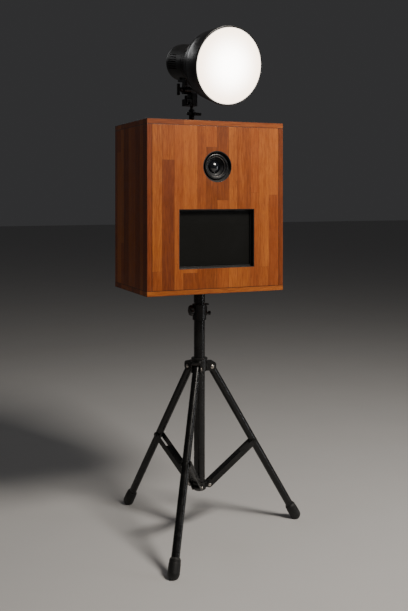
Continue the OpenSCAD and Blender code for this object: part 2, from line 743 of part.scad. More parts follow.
// fixed leaves with their pins, and a bent strike plate for the lock's cam
module door_hardware() color("#9c9c98") {
    difference() {
        union() {
            knuckle_set(0);
            leaf(hinge_x + 1, box_w / 2 - 2, 0);
        }
        for (z = hinge_up) translate([hinge_x, hinge_y, box_z + z - hinge_len])
            cylinder(h = 2 * hinge_len, r = hinge_pin_r, $fn = 48);
    }
    for (z = hinge_up) translate([hinge_x, hinge_y, box_z + z - hinge_len / 2])
        cylinder(h = hinge_len, r = hinge_pin_r, $fn = 48);
    block([-in_w / 2, door_y - 22, lock_z - 14], [-in_w / 2 + 1.5, door_y - slide_gap, lock_z + 14]);
    block([-in_w / 2, door_y - slide_gap - 1.5, lock_z - 14],
          [-in_w / 2 + 12, door_y - slide_gap, lock_z + 14]);
}

module door_leaves() color("#9c9c98") difference() {
    union() {
        knuckle_set(1);
        leaf(hinge_x - 32, hinge_x - 1, 1);
    }
    for (z = hinge_up) translate([hinge_x, hinge_y, box_z + z - hinge_len])
        cylinder(h = 2 * hinge_len, r = hinge_pin_r + run_fit, $fn = 48);
}

module rear_door() color("#9a4d18") difference() {
    block([-door_w / 2, door_y, box_z + board_t + door_gap],
          [door_w / 2, back_y, box_top - board_t - door_gap]);
    translate([lock_x, 0, lock_z]) ycyl(lock_r + run_fit, door_y - 1, back_y + 1);
    for (z = [170, 185, 200, 400, 415, 430]) for (x = [-60 : 20 : 60])
        translate([x, 0, box_z + z]) ycyl(3.5, door_y - 1, back_y + 1);
}

// lock barrel with a keyhole slot and a cam that lies upright when open
module door_lock() color("#a9a9a9") translate([lock_x, 0, lock_z]) difference() {
    union() {
        ycyl(lock_r, door_y - 6, back_y);
        ycyl(lock_r + 3, back_y + slide_gap, back_y + 3);
        ycyl(lock_r, back_y - 1, back_y + 2);
        block([-7, door_y - 5.5, -lock_r], [7, door_y - 2.5, cam_len]);
    }
    block([-1, back_y - 6, -5], [1, back_y + 4, 5]);
}

// ---------------------------------------------------------------- lamp post and bracket

module lamp_post() color("#151515") at_post() difference() {
    union() {
        cylinder(h = post_flange_t, r = post_flange_r);
        cylinder(h = post_h, r = post_r);
        translate([0, 0, post_flange_t]) cylinder(h = 8, r1 = post_r + 5, r2 = post_r);
        translate([0, 0, wing_z]) ycyl(8, -post_r - 5, 0);
        translate([0, 0, post_h - 6]) cylinder(h = 4, r = post_r + 1.2);
    }
    translate([0, 0, 8]) cylinder(h = post_h, r = spigot_r);
    for (p = post_screw_xy) translate([p[0], p[1], -1]) cylinder(h = 8, r = screw_r);
    translate([0, 0, wing_z]) ycyl(wing_screw_r + run_fit, -post_r - 20, 0);
}

module spigot() color("#b9b9b4") at_post() union() {
    translate([0, 0, 8]) cylinder(h = post_h - 8, r = spigot_r);
    translate([0, 0, post_h]) cylinder(h = neck_h, r = neck_r);
    translate([0, 0, block_z]) cylinder(h = spigot_in - 2, r = spigot_r - run_fit);
    translate([0, 0, block_z + spigot_in - 2]) cylinder(h = 2, r1 = spigot_r - run_fit, r2 = spigot_r - 2);
}

// wing screw that clamps the spigot in its post
module post_knob() color("#0f0f0f") at_post() translate([0, 0, wing_z]) {
    ycyl(wing_screw_r, -post_r - 9, -spigot_r - slide_gap);
    difference() {
        union() {
            ycyl(7, -post_r - 20, -post_r - 5 - slide_gap);
            for (s = [-1, 1]) rotate([0, 8, 0]) translate([0, -post_r - 10, 0]) rotate([90, 0, 0])
                linear_extrude(5) strip([0, 0], [s * 24, s * 3], 11);
        }
        ycyl(wing_screw_r, -post_r - 9, 0);
    }
}

module bracket_base() color("#101010") at_bracket() difference() {
    union() {
        translate([(boss_in + boss_out) / 2, -2, block_z])
            round_block(boss_out - boss_in, block_d, block_h, 3);
        block([boss_in, -boss_r + 2, block_z + block_h - 4], [boss_out, boss_r - 2, tilt_up]);
        translate([0, 0, tilt_up]) xcyl(boss_r, boss_in, boss_out);
        translate([umb_x, -2, block_z]) round_block(umb_w, block_d, umb_h, 3);
        block([umb_x, -12, block_z + 2], [0, 8, block_z + umb_h - 3]);
    }
    translate([0, 0, block_z - 1]) cylinder(h = spigot_in + 1 + slide_gap, r = spigot_r);
    translate([umb_x, 0, umb_z]) ycyl(umb_r, -60, 60);
    translate([umb_x, 0, umb_z]) cylinder(h = umb_h, r = umb_screw_r + run_fit);
    translate([0, 0, tilt_up]) xcyl(bolt_r + run_fit, -60, 60);
}

// thumb screw that presses down on the umbrella's shaft
module umbrella_screw() color("#0f0f0f") at_bracket() translate([umb_x, 0, block_z]) union() {
    translate([0, 0, umb_z - block_z + umb_r + slide_gap]) cylinder(h = umb_h - 10, r = umb_screw_r);
    translate([0, 0, umb_h + slide_gap]) cylinder(h = 14, r = 6.5);
    for (a = [0 : 30 : 330]) rotate([0, 0, a]) translate([6.5, 0, umb_h + slide_gap])
        cylinder(h = 12, r = 0.7, $fn = 16);
}

// bolt of the tilt joint, with a bar handle on one side and a domed nut on the other
module tilt_lever() color("#0f0f0f") at_tilt() union() {
    xcyl(bolt_r, lever_x - 16, boss_out + 4);
    xcyl(8.5, lever_x - 15, lever_x);
    translate([lever_x - 19, 0, -21]) round_block(10, 12, 42, 4);
    xcyl(8, boss_out + slide_gap, boss_out + 5);
}

// ---------------------------------------------------------------- lamp head

// arm from the tilt joint up to a saddle under the housing
module tilt_arm() color("#121212") at_head() difference() {
    union() {
        xcyl(boss_r, arm_out, boss_in - slide_gap);
        block([arm_out, -11, 0], [boss_in - slide_gap, 11, saddle_z + 14]);
        block([arm_out, -8, saddle_z - 5], [22, 44, saddle_z + 6]);
    }
    xcyl(bolt_r + run_fit, -60, 60);
    translate([0, 0, axis_up]) ycyl(housing_r, -200, 200);
}

// shell with groups of cooling slots; z runs forward
module lamp_housing() color("#131313") at_axis() difference() {
    union() {
        translate([0, 0, rear_t + 12]) cylinder(h = housing_t - rear_t - 12, r = housing_r);
        translate([0, 0, housing_t - 8]) cylinder(h = 5, r = housing_r + 0.8);
        translate([0, 0, housing_t - 1]) cylinder(h = neck_t - housing_t + 1, r = sleeve_r);
        translate([0, 0, rear_t + 12]) rotate_extrude() intersection() {
            union() {
                translate([housing_r - 12, 0]) circle(12);
                translate([0, -12]) square([housing_r - 12, 24]);
            }
            translate([0, -12]) square([housing_r + 1, 12.5]);
        }
    }
    translate([0, 0, rear_t + 8]) cylinder(h = housing_t - 4 - rear_t - 8, r = housing_r - shell_t);
    translate([0, 0, housing_t - 5]) cylinder(h = neck_t, r = sleeve_r - 4);
    translate([0, 0, rear_t - 1]) cylinder(h = 20, r = panel_r);
    for (a = [0, 90, 180], k = [-3 : 3]) rotate([0, 0, a + k * 7])
        translate([housing_r - 8, -slot_w / 2, slot_t]) cube([16, slot_w, slot_len]);
}

// ring with grip notches that locks the reflector
module lock_ring() color("#0f0f0f") at_axis() difference() {
    translate([0, 0, housing_t + slide_gap])
        cylinder(h = ring_t - housing_t - slide_gap, r = housing_r + 0.5);
    translate([0, 0, housing_t - 1]) cylinder(h = 60, r = sleeve_r + run_fit);
    for (i = [0 : 47]) rotate([0, 0, i * 7.5]) translate([housing_r - 1.2, -1.9, housing_t + 9])
        cube([4, 3.8, 9]);
}

// plug-in panel at the back with a recess for the display
module lamp_rear_panel() color("#1c1c1c") at_axis() difference() {
    union() {
        translate([0, 0, rear_t + 1]) cylinder(h = 7, r = panel_r);
        translate([0, 0, rear_t + 8]) cylinder(h = 4, r = housing_r - shell_t);
    }
    block([-22, 14, rear_t - 1], [22, 34, rear_t + 3]);
    block([-24, -44, rear_t - 1], [-4, -32, rear_t + 8]);
    block([8, -46, rear_t - 1], [20, -30, rear_t + 8]);
    for (x = [-1, 1]) translate([x * 34, dial_y + 6, rear_t - 1]) cylinder(h = 5, r = 5);
    translate([0, dial_y + 8, rear_t - 1]) cylinder(h = 20, r = dial_stem_r + run_fit);
}

module power_dial() color("#0f0f0f") at_axis() translate([0, dial_y + 8, rear_t - 10]) union() {
    cylinder(h = 11 - slide_gap, r = dial_r);
    for (i = [0 : 23]) rotate([0, 0, i * 15]) translate([dial_r, 0, 0]) cylinder(h = 9, r = 0.8, $fn = 16);
    cylinder(h = 22, r = dial_stem_r);
}

module lamp_switch() color("#181818") at_axis() difference() {
    translate([14, -38, rear_t + 4]) rotate([8, 0, 0]) block([-5.7, -7.4, -4], [5.7, 7.4, 2.5]);
    block([0, -60, rear_t + 7.7], [30, 0, rear_t + 12]);
}

// bowl: outline of radius against distance from the neck, thickened by the sheet
function bowl_r(u) = neck_r_out + (bowl_r_out - neck_r_out) * pow(sin(90 * u), 0.5);
function bowl(off) = [for (i = [0 : bowl_steps]) let (u = i / bowl_steps)
    [bowl_r(u) - off, neck_t + bowl_from + (bowl_len - bowl_from) * u]];

module reflector() color("#141414") at_axis() rotate_extrude() union() {
    difference() {
        polygon(concat([[housing_r - 12, neck_t], [neck_r_out, neck_t], [neck_r_out, neck_t + bowl_from]],
            bowl(0), [[bowl_r_out, rim_t], [0, rim_t], [0, neck_t + 2], [housing_r - 12, neck_t + 2]]));
        polygon(concat([[0, neck_t - 1], [housing_r - 12, neck_t - 1], [housing_r - 12, neck_t + 3],
            [neck_r_out - sheet_t, neck_t + 3], [neck_r_out - sheet_t, neck_t + bowl_from]],
            bowl(sheet_t), [[bowl_r_out - sheet_t, rim_t + 1], [0, rim_t + 1]]));
    }
    translate([housing_r + 1, neck_t]) square([3, 5]);
    for (k = [1, 2]) translate([housing_r + 1, neck_t + k * 6]) square([2, 2.5]);
    translate([rim_r - lip_w + 1, rim_t - 10]) square([lip_w - 1, 10]);
    translate([rim_r - lip_w, rim_t - 8]) square([3, 2]);
}

// frosted disc, slightly crowned
module diffuser() color("#fbf6ee") at_axis() intersection() {
    difference() {
        translate([0, 0, rim_t - 1 + crown - crown_r]) sphere(r = crown_r, $fn = 200);
        translate([0, 0, rim_t - 4 + crown - crown_r]) sphere(r = crown_r - 0.01, $fn = 200);
    }
    translate([0, 0, rim_t - 6]) cylinder(h = 20, r = diffuser_r);
}

// light source: a finned heat sink behind a round board with a domed emitter
module lamp_led() color("#efe6c8") at_axis() union() {
    for (k = [0 : 4]) translate([0, 0, housing_t - 52 + k * 9]) cylinder(h = 3, r = housing_r - shell_t - 6);
    translate([0, 0, housing_t - 52]) cylinder(h = 44, r = 22);
    translate([0, 0, housing_t - 9]) cylinder(h = 5, r = housing_r - shell_t);
    translate([0, 0, housing_t - 4]) cylinder(h = 26, r = 34);
    translate([0, 0, housing_t + 22]) intersection() {
        sphere(r = 30);
        cylinder(h = 30, r = 30);
    }
}

// ---------------------------------------------------------------- build

main_tube();
lower_hub();
lower_hub_pins();
clamp_collar();
mast_bush();
clamp_knob();
height_pin();
leg_hub();
hub_bush();
leg_pivot_bolts();
hub_knob();
leg(0);  // leg_right
leg(1);  // leg_rear
leg(2);  // leg_front
foot(0);  // foot_right
foot(1);  // foot_rear
foot(2);  // foot_front
brace(0);  // brace_right
brace(1);  // brace_rear
brace(2);  // brace_front
inner_mast();
mast_plugs();
pole_socket();
top_board();
bottom_board();
left_side();
right_side();
front_panel();
cabinet_screws();
screen_bezel();
monitor_case();
screen_glass();
monitor_clips();
port_liner();
camera_shelf();
camera_body();
lens_barrel();
lens_glass();
zoom_ring();
power_strip();
mains_inlet();
door_hardware();
rear_door();
door_leaves();
door_lock();
lamp_post();
spigot();
post_knob();
bracket_base();
umbrella_screw();
tilt_lever();
tilt_arm();
lamp_housing();
lamp_rear_panel();
power_dial();
lamp_switch();
lock_ring();
reflector();
diffuser();
lamp_led();
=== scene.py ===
import json
from math import cos, radians, sin, sqrt, tau
import bmesh
import bpy
from mathutils import Matrix, Vector

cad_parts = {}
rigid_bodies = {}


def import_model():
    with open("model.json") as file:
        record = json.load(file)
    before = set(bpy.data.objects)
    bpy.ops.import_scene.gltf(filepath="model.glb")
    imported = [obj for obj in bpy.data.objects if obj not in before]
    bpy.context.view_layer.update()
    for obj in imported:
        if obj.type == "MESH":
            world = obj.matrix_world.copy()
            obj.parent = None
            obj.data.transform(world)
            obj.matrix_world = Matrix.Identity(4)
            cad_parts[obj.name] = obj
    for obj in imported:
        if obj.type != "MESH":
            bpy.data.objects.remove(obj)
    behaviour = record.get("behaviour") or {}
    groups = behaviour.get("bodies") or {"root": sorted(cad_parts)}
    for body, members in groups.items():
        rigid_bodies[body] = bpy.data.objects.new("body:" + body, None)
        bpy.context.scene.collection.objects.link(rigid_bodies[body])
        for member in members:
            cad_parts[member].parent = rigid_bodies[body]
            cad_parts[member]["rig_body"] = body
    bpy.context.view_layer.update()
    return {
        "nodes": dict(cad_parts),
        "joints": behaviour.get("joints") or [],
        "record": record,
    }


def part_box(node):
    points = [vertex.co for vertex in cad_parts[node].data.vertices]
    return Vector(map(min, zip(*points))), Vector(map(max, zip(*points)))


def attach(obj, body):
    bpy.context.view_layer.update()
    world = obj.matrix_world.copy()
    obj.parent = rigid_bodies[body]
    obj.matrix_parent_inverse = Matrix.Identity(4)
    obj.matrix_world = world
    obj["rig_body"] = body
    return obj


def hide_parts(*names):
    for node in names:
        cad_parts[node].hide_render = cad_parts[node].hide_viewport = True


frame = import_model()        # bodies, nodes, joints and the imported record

joints = {joint["name"]: joint for joint in frame["joints"]}
mm = 0.001

# frames that lie along a joint


def axisMatrix(origin, axis, side=None):    # local Z along axis, local X towards side
    z = Vector(axis).normalized()
    x = Vector(side) if side else (Vector((0, 0, 1)) if abs(z.z) < 0.9 else Vector((1, 0, 0)))
    x = (x - z * x.dot(z)).normalized()
    y = z.cross(x)
    turned = Matrix((x, y, z)).transposed().to_4x4()
    return Matrix.Translation(Vector(origin)) @ turned


def spanAlong(node, matrix):       # (lowest, highest, widest radius) of a node in a frame, in millimetres
    inverse = matrix.inverted()
    points = [inverse @ vert.co for vert in frame["nodes"][node].data.vertices]
    return (min(p.z for p in points) / mm, max(p.z for p in points) / mm,
            max(sqrt(p.x * p.x + p.y * p.y) for p in points) / mm)


lampFrame = axisMatrix(joints["lock_ring_turn"]["pos_m"], joints["lock_ring_turn"]["axis"],
                       joints["lamp_tilt_turn"]["axis"])

# small helpers for shader nodes


def feed(tree, node, inputs):      # links each socket that is given, and sets each plain value
    for key, value in (inputs or {}).items():
        if isinstance(value, bpy.types.NodeSocket):
            tree.links.new(value, node.inputs[key])
        else:
            node.inputs[key].default_value = value


def addNode(tree, kind, inputs=None, **settings):
    made = tree.nodes.new("ShaderNode" + kind)
    for key, value in settings.items():
        setattr(made, key, value)
    feed(tree, made, inputs)
    return made


def calc(tree, operation, a, b=0.0, c=0.0, clamp=False):
    made = addNode(tree, "Math", {0: a, 1: b, 2: c}, operation=operation, use_clamp=clamp)
    return made.outputs[0]


def fade(tree, value, low, high, toLow=0.0, toHigh=1.0):   # smooth step between two values
    made = addNode(tree, "MapRange", {"Value": value, "From Min": low, "From Max": high,
                                      "To Min": toLow, "To Max": toHigh}, interpolation_type="SMOOTHSTEP")
    return made.outputs["Result"]


def mixColour(tree, factor, first, second):    # the colour sockets of a Mix node are its 6 and 7
    made = addNode(tree, "Mix", {0: factor, 6: first, 7: second}, data_type="RGBA")
    return made.outputs[2]


def noise(tree, vector, scale, detail=2.0, roughness=0.5, distortion=0.0):
    made = addNode(tree, "TexNoise", {"Vector": vector, "Scale": scale, "Detail": detail,
                                      "Roughness": roughness, "Distortion": distortion})
    return made.outputs["Fac"]


def rgb(red, green, blue):
    return (red, green, blue, 1.0)


def startGroup(name, inputs, outputs):
    tree = bpy.data.node_groups.new(name, "ShaderNodeTree")
    for label, kind, value in inputs:
        socket = tree.interface.new_socket(label, in_out="INPUT", socket_type="NodeSocket" + kind)
        if value is not None:
            socket.default_value = value
    for label, kind in outputs:
        tree.interface.new_socket(label, in_out="OUTPUT", socket_type="NodeSocket" + kind)
    given = tree.nodes.new("NodeGroupInput").outputs
    wanted = tree.nodes.new("NodeGroupOutput").inputs
    return tree, given, wanted


def useGroup(tree, group, inputs=None):
    made = tree.nodes.new("ShaderNodeGroup")
    made.node_tree = group
    feed(tree, made, inputs)
    return made.outputs


# effects that several materials share


def makeStaveLayout():     # glued staves of uneven width, with a butt joint here and there
    tree, given, wanted = startGroup(
        "staveLayout",
        [("Across", "Float", 0.0), ("Along", "Float", 0.0), ("Width", "Float", 0.045),
         ("Length", "Float", 0.9), ("Seed", "Float", 0.0)],
        [("Tone", "Float"), ("Tint", "Float"), ("Shift", "Float"), ("Seam", "Float")])
    wobble = calc(tree, "SINE", calc(tree, "MULTIPLY_ADD", given["Across"], 61.0, given["Seed"]))
    across = calc(tree, "MULTIPLY_ADD", wobble, 0.006, given["Across"])
    column = calc(tree, "ADD", calc(tree, "DIVIDE", across, given["Width"]), given["Seed"])
    columnIndex = calc(tree, "FLOOR", column)
    columnRandom = addNode(tree, "TexWhiteNoise", {"W": columnIndex}, noise_dimensions="1D").outputs["Value"]
    row = calc(tree, "ADD", calc(tree, "DIVIDE", given["Along"], given["Length"]),
               calc(tree, "MULTIPLY", columnRandom, 7.31))
    rowIndex = calc(tree, "FLOOR", row)
    cell = addNode(tree, "CombineXYZ", {0: columnIndex, 1: rowIndex, 2: given["Seed"]}).outputs[0]
    stave = addNode(tree, "TexWhiteNoise", {"Vector": cell}, noise_dimensions="3D")
    parts = addNode(tree, "SeparateColor", {0: stave.outputs["Color"]}).outputs
    tree.links.new(parts[0], wanted["Tone"])
    tree.links.new(parts[1], wanted["Tint"])
    tree.links.new(parts[2], wanted["Shift"])
    sideGap = calc(tree, "MULTIPLY", calc(tree, "PINGPONG", column, 0.5), given["Width"])
    endGap = calc(tree, "MULTIPLY", calc(tree, "PINGPONG", row, 0.5), given["Length"])
    nearest = calc(tree, "MINIMUM", sideGap, endGap)
    tree.links.new(fade(tree, nearest, 0.0001, 0.0006, 1.0, 0.0), wanted["Seam"])
    return tree


def makeWoodGrain():       # broad figure, fine fibre and short open pores, all along the stave
    tree, given, wanted = startGroup(
        "woodGrain",
        [("Across", "Float", 0.0), ("Depth", "Float", 0.0), ("Along", "Float", 0.0), ("Shift", "Float", 0.0)],
        [("Figure", "Float"), ("Fibre", "Float"), ("Pore", "Float")])
    moved = calc(tree, "MULTIPLY", given["Shift"], 40.0)
    place = addNode(tree, "CombineXYZ", {0: calc(tree, "ADD", given["Across"], moved), 1: given["Depth"],
                                         2: calc(tree, "MULTIPLY_ADD", given["Along"], 0.055, moved)}).outputs[0]
    tree.links.new(noise(tree, place, 34.0, 3.0, 0.55, 0.6), wanted["Figure"])
    tree.links.new(noise(tree, place, 420.0, 3.0, 0.6, 0.2), wanted["Fibre"])
    tree.links.new(fade(tree, noise(tree, place, 900.0, 1.0), 0.64, 0.72), wanted["Pore"])
    return tree


def makeOrangePeel():      # the fine ripple of a sprayed or baked coat
    tree, given, wanted = startGroup(
        "orangePeel", [("Vector", "Vector", None), ("Size", "Float", 0.8)],
        [("Height", "Float"), ("Mottle", "Float")])
    scale = calc(tree, "DIVIDE", 600.0, given["Size"])
    tree.links.new(noise(tree, given["Vector"], scale, 2.0, 0.4), wanted["Height"])
    tree.links.new(noise(tree, given["Vector"], 26.0, 4.0, 0.6), wanted["Mottle"])
    return tree


def makeEdgeWear():        # a mask on outside edges, broken up so that it looks rubbed
    tree, given, wanted = startGroup(
        "edgeWear", [("Vector", "Vector", None), ("Radius", "Float", 0.001), ("Amount", "Float", 0.5)],
        [("Mask", "Float")])
    soft = tree.nodes.new("ShaderNodeBevel")
    soft.samples = 3
    tree.links.new(given["Radius"], soft.inputs["Radius"])
    real = addNode(tree, "NewGeometry").outputs["Normal"]
    same = addNode(tree, "VectorMath", {0: soft.outputs[0], 1: real}, operation="DOT_PRODUCT").outputs["Value"]
    edge = fade(tree, same, 0.995, 0.90)
    broken = fade(tree, noise(tree, given["Vector"], 90.0, 4.0, 0.7), 0.46, 0.62)
    tree.links.new(calc(tree, "MULTIPLY", calc(tree, "MULTIPLY", edge, broken), given["Amount"], clamp=True),
                   wanted["Mask"])
    return tree


def makeDust():            # settles on what faces up
    tree, given, wanted = startGroup(
        "dust", [("Vector", "Vector", None), ("Amount", "Float", 0.3)], [("Mask", "Float")])
    up = addNode(tree, "SeparateXYZ", {0: addNode(tree, "NewGeometry").outputs["Normal"]}).outputs[2]
    flat = fade(tree, up, 0.35, 1.0)
    patches = fade(tree, noise(tree, given["Vector"], 45.0, 5.0, 0.7), 0.35, 0.75)
    tree.links.new(calc(tree, "MULTIPLY", calc(tree, "MULTIPLY", flat, patches), given["Amount"], clamp=True),
                   wanted["Mask"])
    return tree


def makeSmudges():         # finger marks and wiping, for gloss that is not even
    tree, given, wanted = startGroup(
        "smudges", [("Vector", "Vector", None), ("Size", "Float", 1.0)], [("Mask", "Float")])
    scale = calc(tree, "DIVIDE", 22.0, given["Size"])
    tree.links.new(fade(tree, noise(tree, given["Vector"], scale, 5.0, 0.65, 1.2), 0.35, 0.7), wanted["Mask"])
    return tree


staveLayout = makeStaveLayout()
woodGrain = makeWoodGrain()
orangePeel = makeOrangePeel()
edgeWear = makeEdgeWear()
dust = makeDust()
smudges = makeSmudges()
print("shared shader groups made")

# materials

dustColour = rgb(0.09, 0.086, 0.08)


def startMaterial(name, constants):
    material = bpy.data.materials.new(name)
    material.use_nodes = True
    tree = material.node_tree
    shader = tree.nodes["Principled BSDF"]
    for key, value in constants.items():
        shader.inputs[key].default_value = value
    place = addNode(tree, "TexCoord").outputs["Object"]
    return material, tree, shader, place


def setBump(tree, shader, height, strength, distance):
    bump = addNode(tree, "Bump", {"Strength": strength, "Distance": distance, "Height": height})
    tree.links.new(bump.outputs[0], shader.inputs["Normal"])


# seam colours both the real glue lines between staves and the painted shade along each board's edges; border is
# how far that painted shade reaches
woodLook = {
    "dark": rgb(0.105, 0.021, 0.0025), "mid": rgb(0.250, 0.056, 0.0060), "light": rgb(0.50, 0.150, 0.020),
    "red": rgb(0.27, 0.046, 0.007), "pore": rgb(0.05, 0.011, 0.002), "seamAndGapShade": rgb(0.035, 0.008, 0.002),
    "toneSpread": 0.70, "figure": 0.70, "fibre": 1.05,
    "staveWidth": 0.041, "staveLength": 0.55, "border": 0.0016,
}


def makeWood(name, node, across, along, seed, look=woodLook, staveLength=None):
    # across and along are axis letters; the board darkens within a border of its own outline, which is painted
    # shade of the gaps between boards
    material, tree, shader, place = startMaterial(
        name, {"Coat Weight": 0.45, "Coat Roughness": 0.20, "Coat IOR": 1.5, "Specular IOR Level": 0.3})
    axes = addNode(tree, "SeparateXYZ", {0: place}).outputs
    depth = ({"X", "Y", "Z"} - {across, along}).pop()
    grid = {"Across": axes[across], "Along": axes[along]}
    stave = useGroup(tree, staveLayout, {**grid, "Width": look["staveWidth"],
                                         "Length": staveLength or look["staveLength"], "Seed": seed})
    grain = useGroup(tree, woodGrain, {**grid, "Depth": axes[depth], "Shift": stave["Shift"]})
    tone = calc(tree, "MULTIPLY_ADD", calc(tree, "SUBTRACT", stave["Tone"], 0.5), look["toneSpread"], 0.5)
    figure = calc(tree, "MULTIPLY_ADD", calc(tree, "SUBTRACT", grain["Figure"], 0.5), look["figure"], tone)
    fibre = calc(tree, "MULTIPLY_ADD", calc(tree, "SUBTRACT", grain["Fibre"], 0.5), look["fibre"], figure)
    ramp = addNode(tree, "ValToRGB", {"Fac": fibre})
    band = ramp.color_ramp
    band.elements[0].position, band.elements[0].color = 0.0, look["dark"]
    band.elements[1].position, band.elements[1].color = 1.0, look["light"]
    middle = band.elements.new(0.45)
    middle.color = look["mid"]
    redder = mixColour(tree, calc(tree, "MULTIPLY", stave["Tint"], 0.35), ramp.outputs[0], look["red"])
    pored = mixColour(tree, calc(tree, "MULTIPLY", grain["Pore"], 0.5), redder, look["pore"])
    low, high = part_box(node)
    facing = addNode(tree, "SeparateXYZ", {0: addNode(tree, "NewGeometry").outputs["Normal"]}).outputs
    nearest = 1.0
    for k in range(3):                         # distance to the nearest edge, within the face that it is on
        middleAt, half = (low[k] + high[k]) / 2, (high[k] - low[k]) / 2
        inside = calc(tree, "SUBTRACT", half, calc(tree, "ABSOLUTE", calc(tree, "SUBTRACT", axes[k], middleAt)))
        inFace = calc(tree, "MULTIPLY_ADD", calc(tree, "GREATER_THAN", calc(tree, "ABSOLUTE", facing[k]), 0.7),
                      1.0, inside)
        nearest = calc(tree, "MINIMUM", nearest, inFace)
    # painted shade of the gaps between boards: each board darkens along its own edges, and the figure noise only
    # breaks up how far it reaches
    gapShadeReach = calc(tree, "MULTIPLY_ADD", grain["Figure"], look["border"], nearest)
    outline = fade(tree, gapShadeReach, look["border"] * 0.7, look["border"] * 1.7, 0.85, 0.0)
    # the real glue lines between staves, joined with the painted gap shade along the board's edges
    seamsAndGapShade = calc(tree, "MAXIMUM", calc(tree, "MULTIPLY", stave["Seam"], 0.55), outline)
    tree.links.new(mixColour(tree, seamsAndGapShade, pored, look["seamAndGapShade"]), shader.inputs["Base Color"])
    wiped = useGroup(tree, smudges, {"Vector": place, "Size": 1.6})["Mask"]
    rough = calc(tree, "MULTIPLY_ADD", grain["Fibre"], 0.16, calc(tree, "MULTIPLY_ADD", wiped, 0.08, 0.36))
    tree.links.new(rough, shader.inputs["Roughness"])
    tree.links.new(calc(tree, "MULTIPLY_ADD", wiped, -0.15, 0.5), shader.inputs["Coat Weight"])
    dips = calc(tree, "MULTIPLY_ADD", stave["Seam"], -1.0, calc(tree, "MULTIPLY", grain["Pore"], -0.5))
    setBump(tree, shader, calc(tree, "MULTIPLY_ADD", grain["Fibre"], 0.25, dips), 0.25, 0.0003)
    return material


def makeCoat(name, base, rough, peel=0.8, bump=0.12, wear=0.35, dusty=0.25, bare=rgb(0.32, 0.31, 0.30),
             constants=None):                       # painted, powder-coated or moulded dark surfaces
    material, tree, shader, place = startMaterial(name, constants or {})
    ripple = useGroup(tree, orangePeel, {"Vector": place, "Size": peel})
    wiped = useGroup(tree, smudges, {"Vector": place})["Mask"]
    lighter = rgb(*[min(1.0, channel * 1.9 + 0.004) for channel in base[:3]])
    tone = mixColour(tree, fade(tree, ripple["Mottle"], 0.35, 0.8), base, lighter)
    if wear:
        worn = useGroup(tree, edgeWear, {"Vector": place, "Radius": 0.0009, "Amount": wear})["Mask"]
        tone = mixColour(tree, worn, tone, bare)
    settled = useGroup(tree, dust, {"Vector": place, "Amount": dusty})["Mask"]
    tone = mixColour(tree, settled, tone, dustColour)
    tree.links.new(tone, shader.inputs["Base Color"])
    roughness = calc(tree, "MULTIPLY_ADD", wiped, 0.12, calc(tree, "MULTIPLY_ADD", settled, 0.3, rough),
                     clamp=True)
    tree.links.new(roughness, shader.inputs["Roughness"])
    setBump(tree, shader, ripple["Height"], bump, 0.0004)
    return material


def makeMetal(name, base, rough, brushed="Z", dusty=0.1):    # plated or turned steel, with fine lines
    material, tree, shader, place = startMaterial(name, {"Metallic": 1.0})
    stretch = {"X": (0.04, 1, 1), "Y": (1, 0.04, 1), "Z": (1, 1, 0.04)}[brushed]
    drawn = addNode(tree, "Mapping", {"Vector": place, "Scale": stretch}).outputs[0]
    lines = noise(tree, drawn, 1500.0, 2.0, 0.6)
    spots = fade(tree, noise(tree, place, 70.0, 5.0, 0.7), 0.5, 0.75)
    darker = rgb(*[channel * 0.45 for channel in base[:3]])
    tone = mixColour(tree, calc(tree, "MULTIPLY", spots, 0.5), base, darker)
    settled = useGroup(tree, dust, {"Vector": place, "Amount": dusty})["Mask"]
    tree.links.new(mixColour(tree, settled, tone, dustColour), shader.inputs["Base Color"])
    rougher = calc(tree, "MULTIPLY_ADD", lines, 0.18, calc(tree, "MULTIPLY_ADD", spots, 0.15, rough - 0.09))
    tree.links.new(rougher, shader.inputs["Roughness"])
    setBump(tree, shader, lines, 0.10, 0.0002)
    return material


def makeRubber(name, base, rough, grain=1.2):
    material, tree, shader, place = startMaterial(name, {"Specular IOR Level": 0.35, "Sheen Weight": 0.05})
    pebbled = addNode(tree, "TexVoronoi", {"Vector": place, "Scale": 900.0 / grain}).outputs["Distance"]
    worn = fade(tree, noise(tree, place, 30.0, 5.0, 0.65), 0.4, 0.75)
    tone = mixColour(tree, calc(tree, "MULTIPLY", worn, 0.6), base, rgb(0.055, 0.054, 0.052))
    settled = useGroup(tree, dust, {"Vector": place, "Amount": 0.35})["Mask"]
    tree.links.new(mixColour(tree, settled, tone, dustColour), shader.inputs["Base Color"])
    tree.links.new(calc(tree, "MULTIPLY_ADD", worn, 0.12, rough), shader.inputs["Roughness"])
    setBump(tree, shader, pebbled, 0.2, 0.0003)
    return material


def makeScreenGlass():     # a switched-off panel under cover glass, with a printed border
    material, tree, shader, place = startMaterial(
        "screenGlass", {"Coat Weight": 1.0, "Coat Roughness": 0.03, "Specular IOR Level": 0.5})
    low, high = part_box("screen_glass")
    centre, half = (low + high) / 2, (high - low) / 2
    axes = addNode(tree, "SeparateXYZ", {0: place}).outputs
    border = 0.007
    fromSide = calc(tree, "ABSOLUTE", calc(tree, "SUBTRACT", axes["X"], centre.x))
    fromSill = calc(tree, "ABSOLUTE", calc(tree, "SUBTRACT", axes["Z"], centre.z))
    inWidth = calc(tree, "SUBTRACT", half.x - border, fromSide)
    inHeight = calc(tree, "SUBTRACT", half.z - border, fromSill)
    active = fade(tree, calc(tree, "MINIMUM", inWidth, inHeight), -0.0003, 0.0003)
    drawn = mixColour(tree, active, rgb(0.002, 0.002, 0.002), rgb(0.011, 0.011, 0.010))
    wiped = useGroup(tree, smudges, {"Vector": place, "Size": 2.0})["Mask"]
    tree.links.new(mixColour(tree, calc(tree, "MULTIPLY", wiped, 0.25), drawn, rgb(0.012, 0.012, 0.012)),
                   shader.inputs["Base Color"])
    tree.links.new(calc(tree, "MULTIPLY_ADD", wiped, 0.10, 0.10), shader.inputs["Roughness"])
    setBump(tree, shader, noise(tree, place, 2200.0, 1.0), 0.02, 0.0001)
    return material


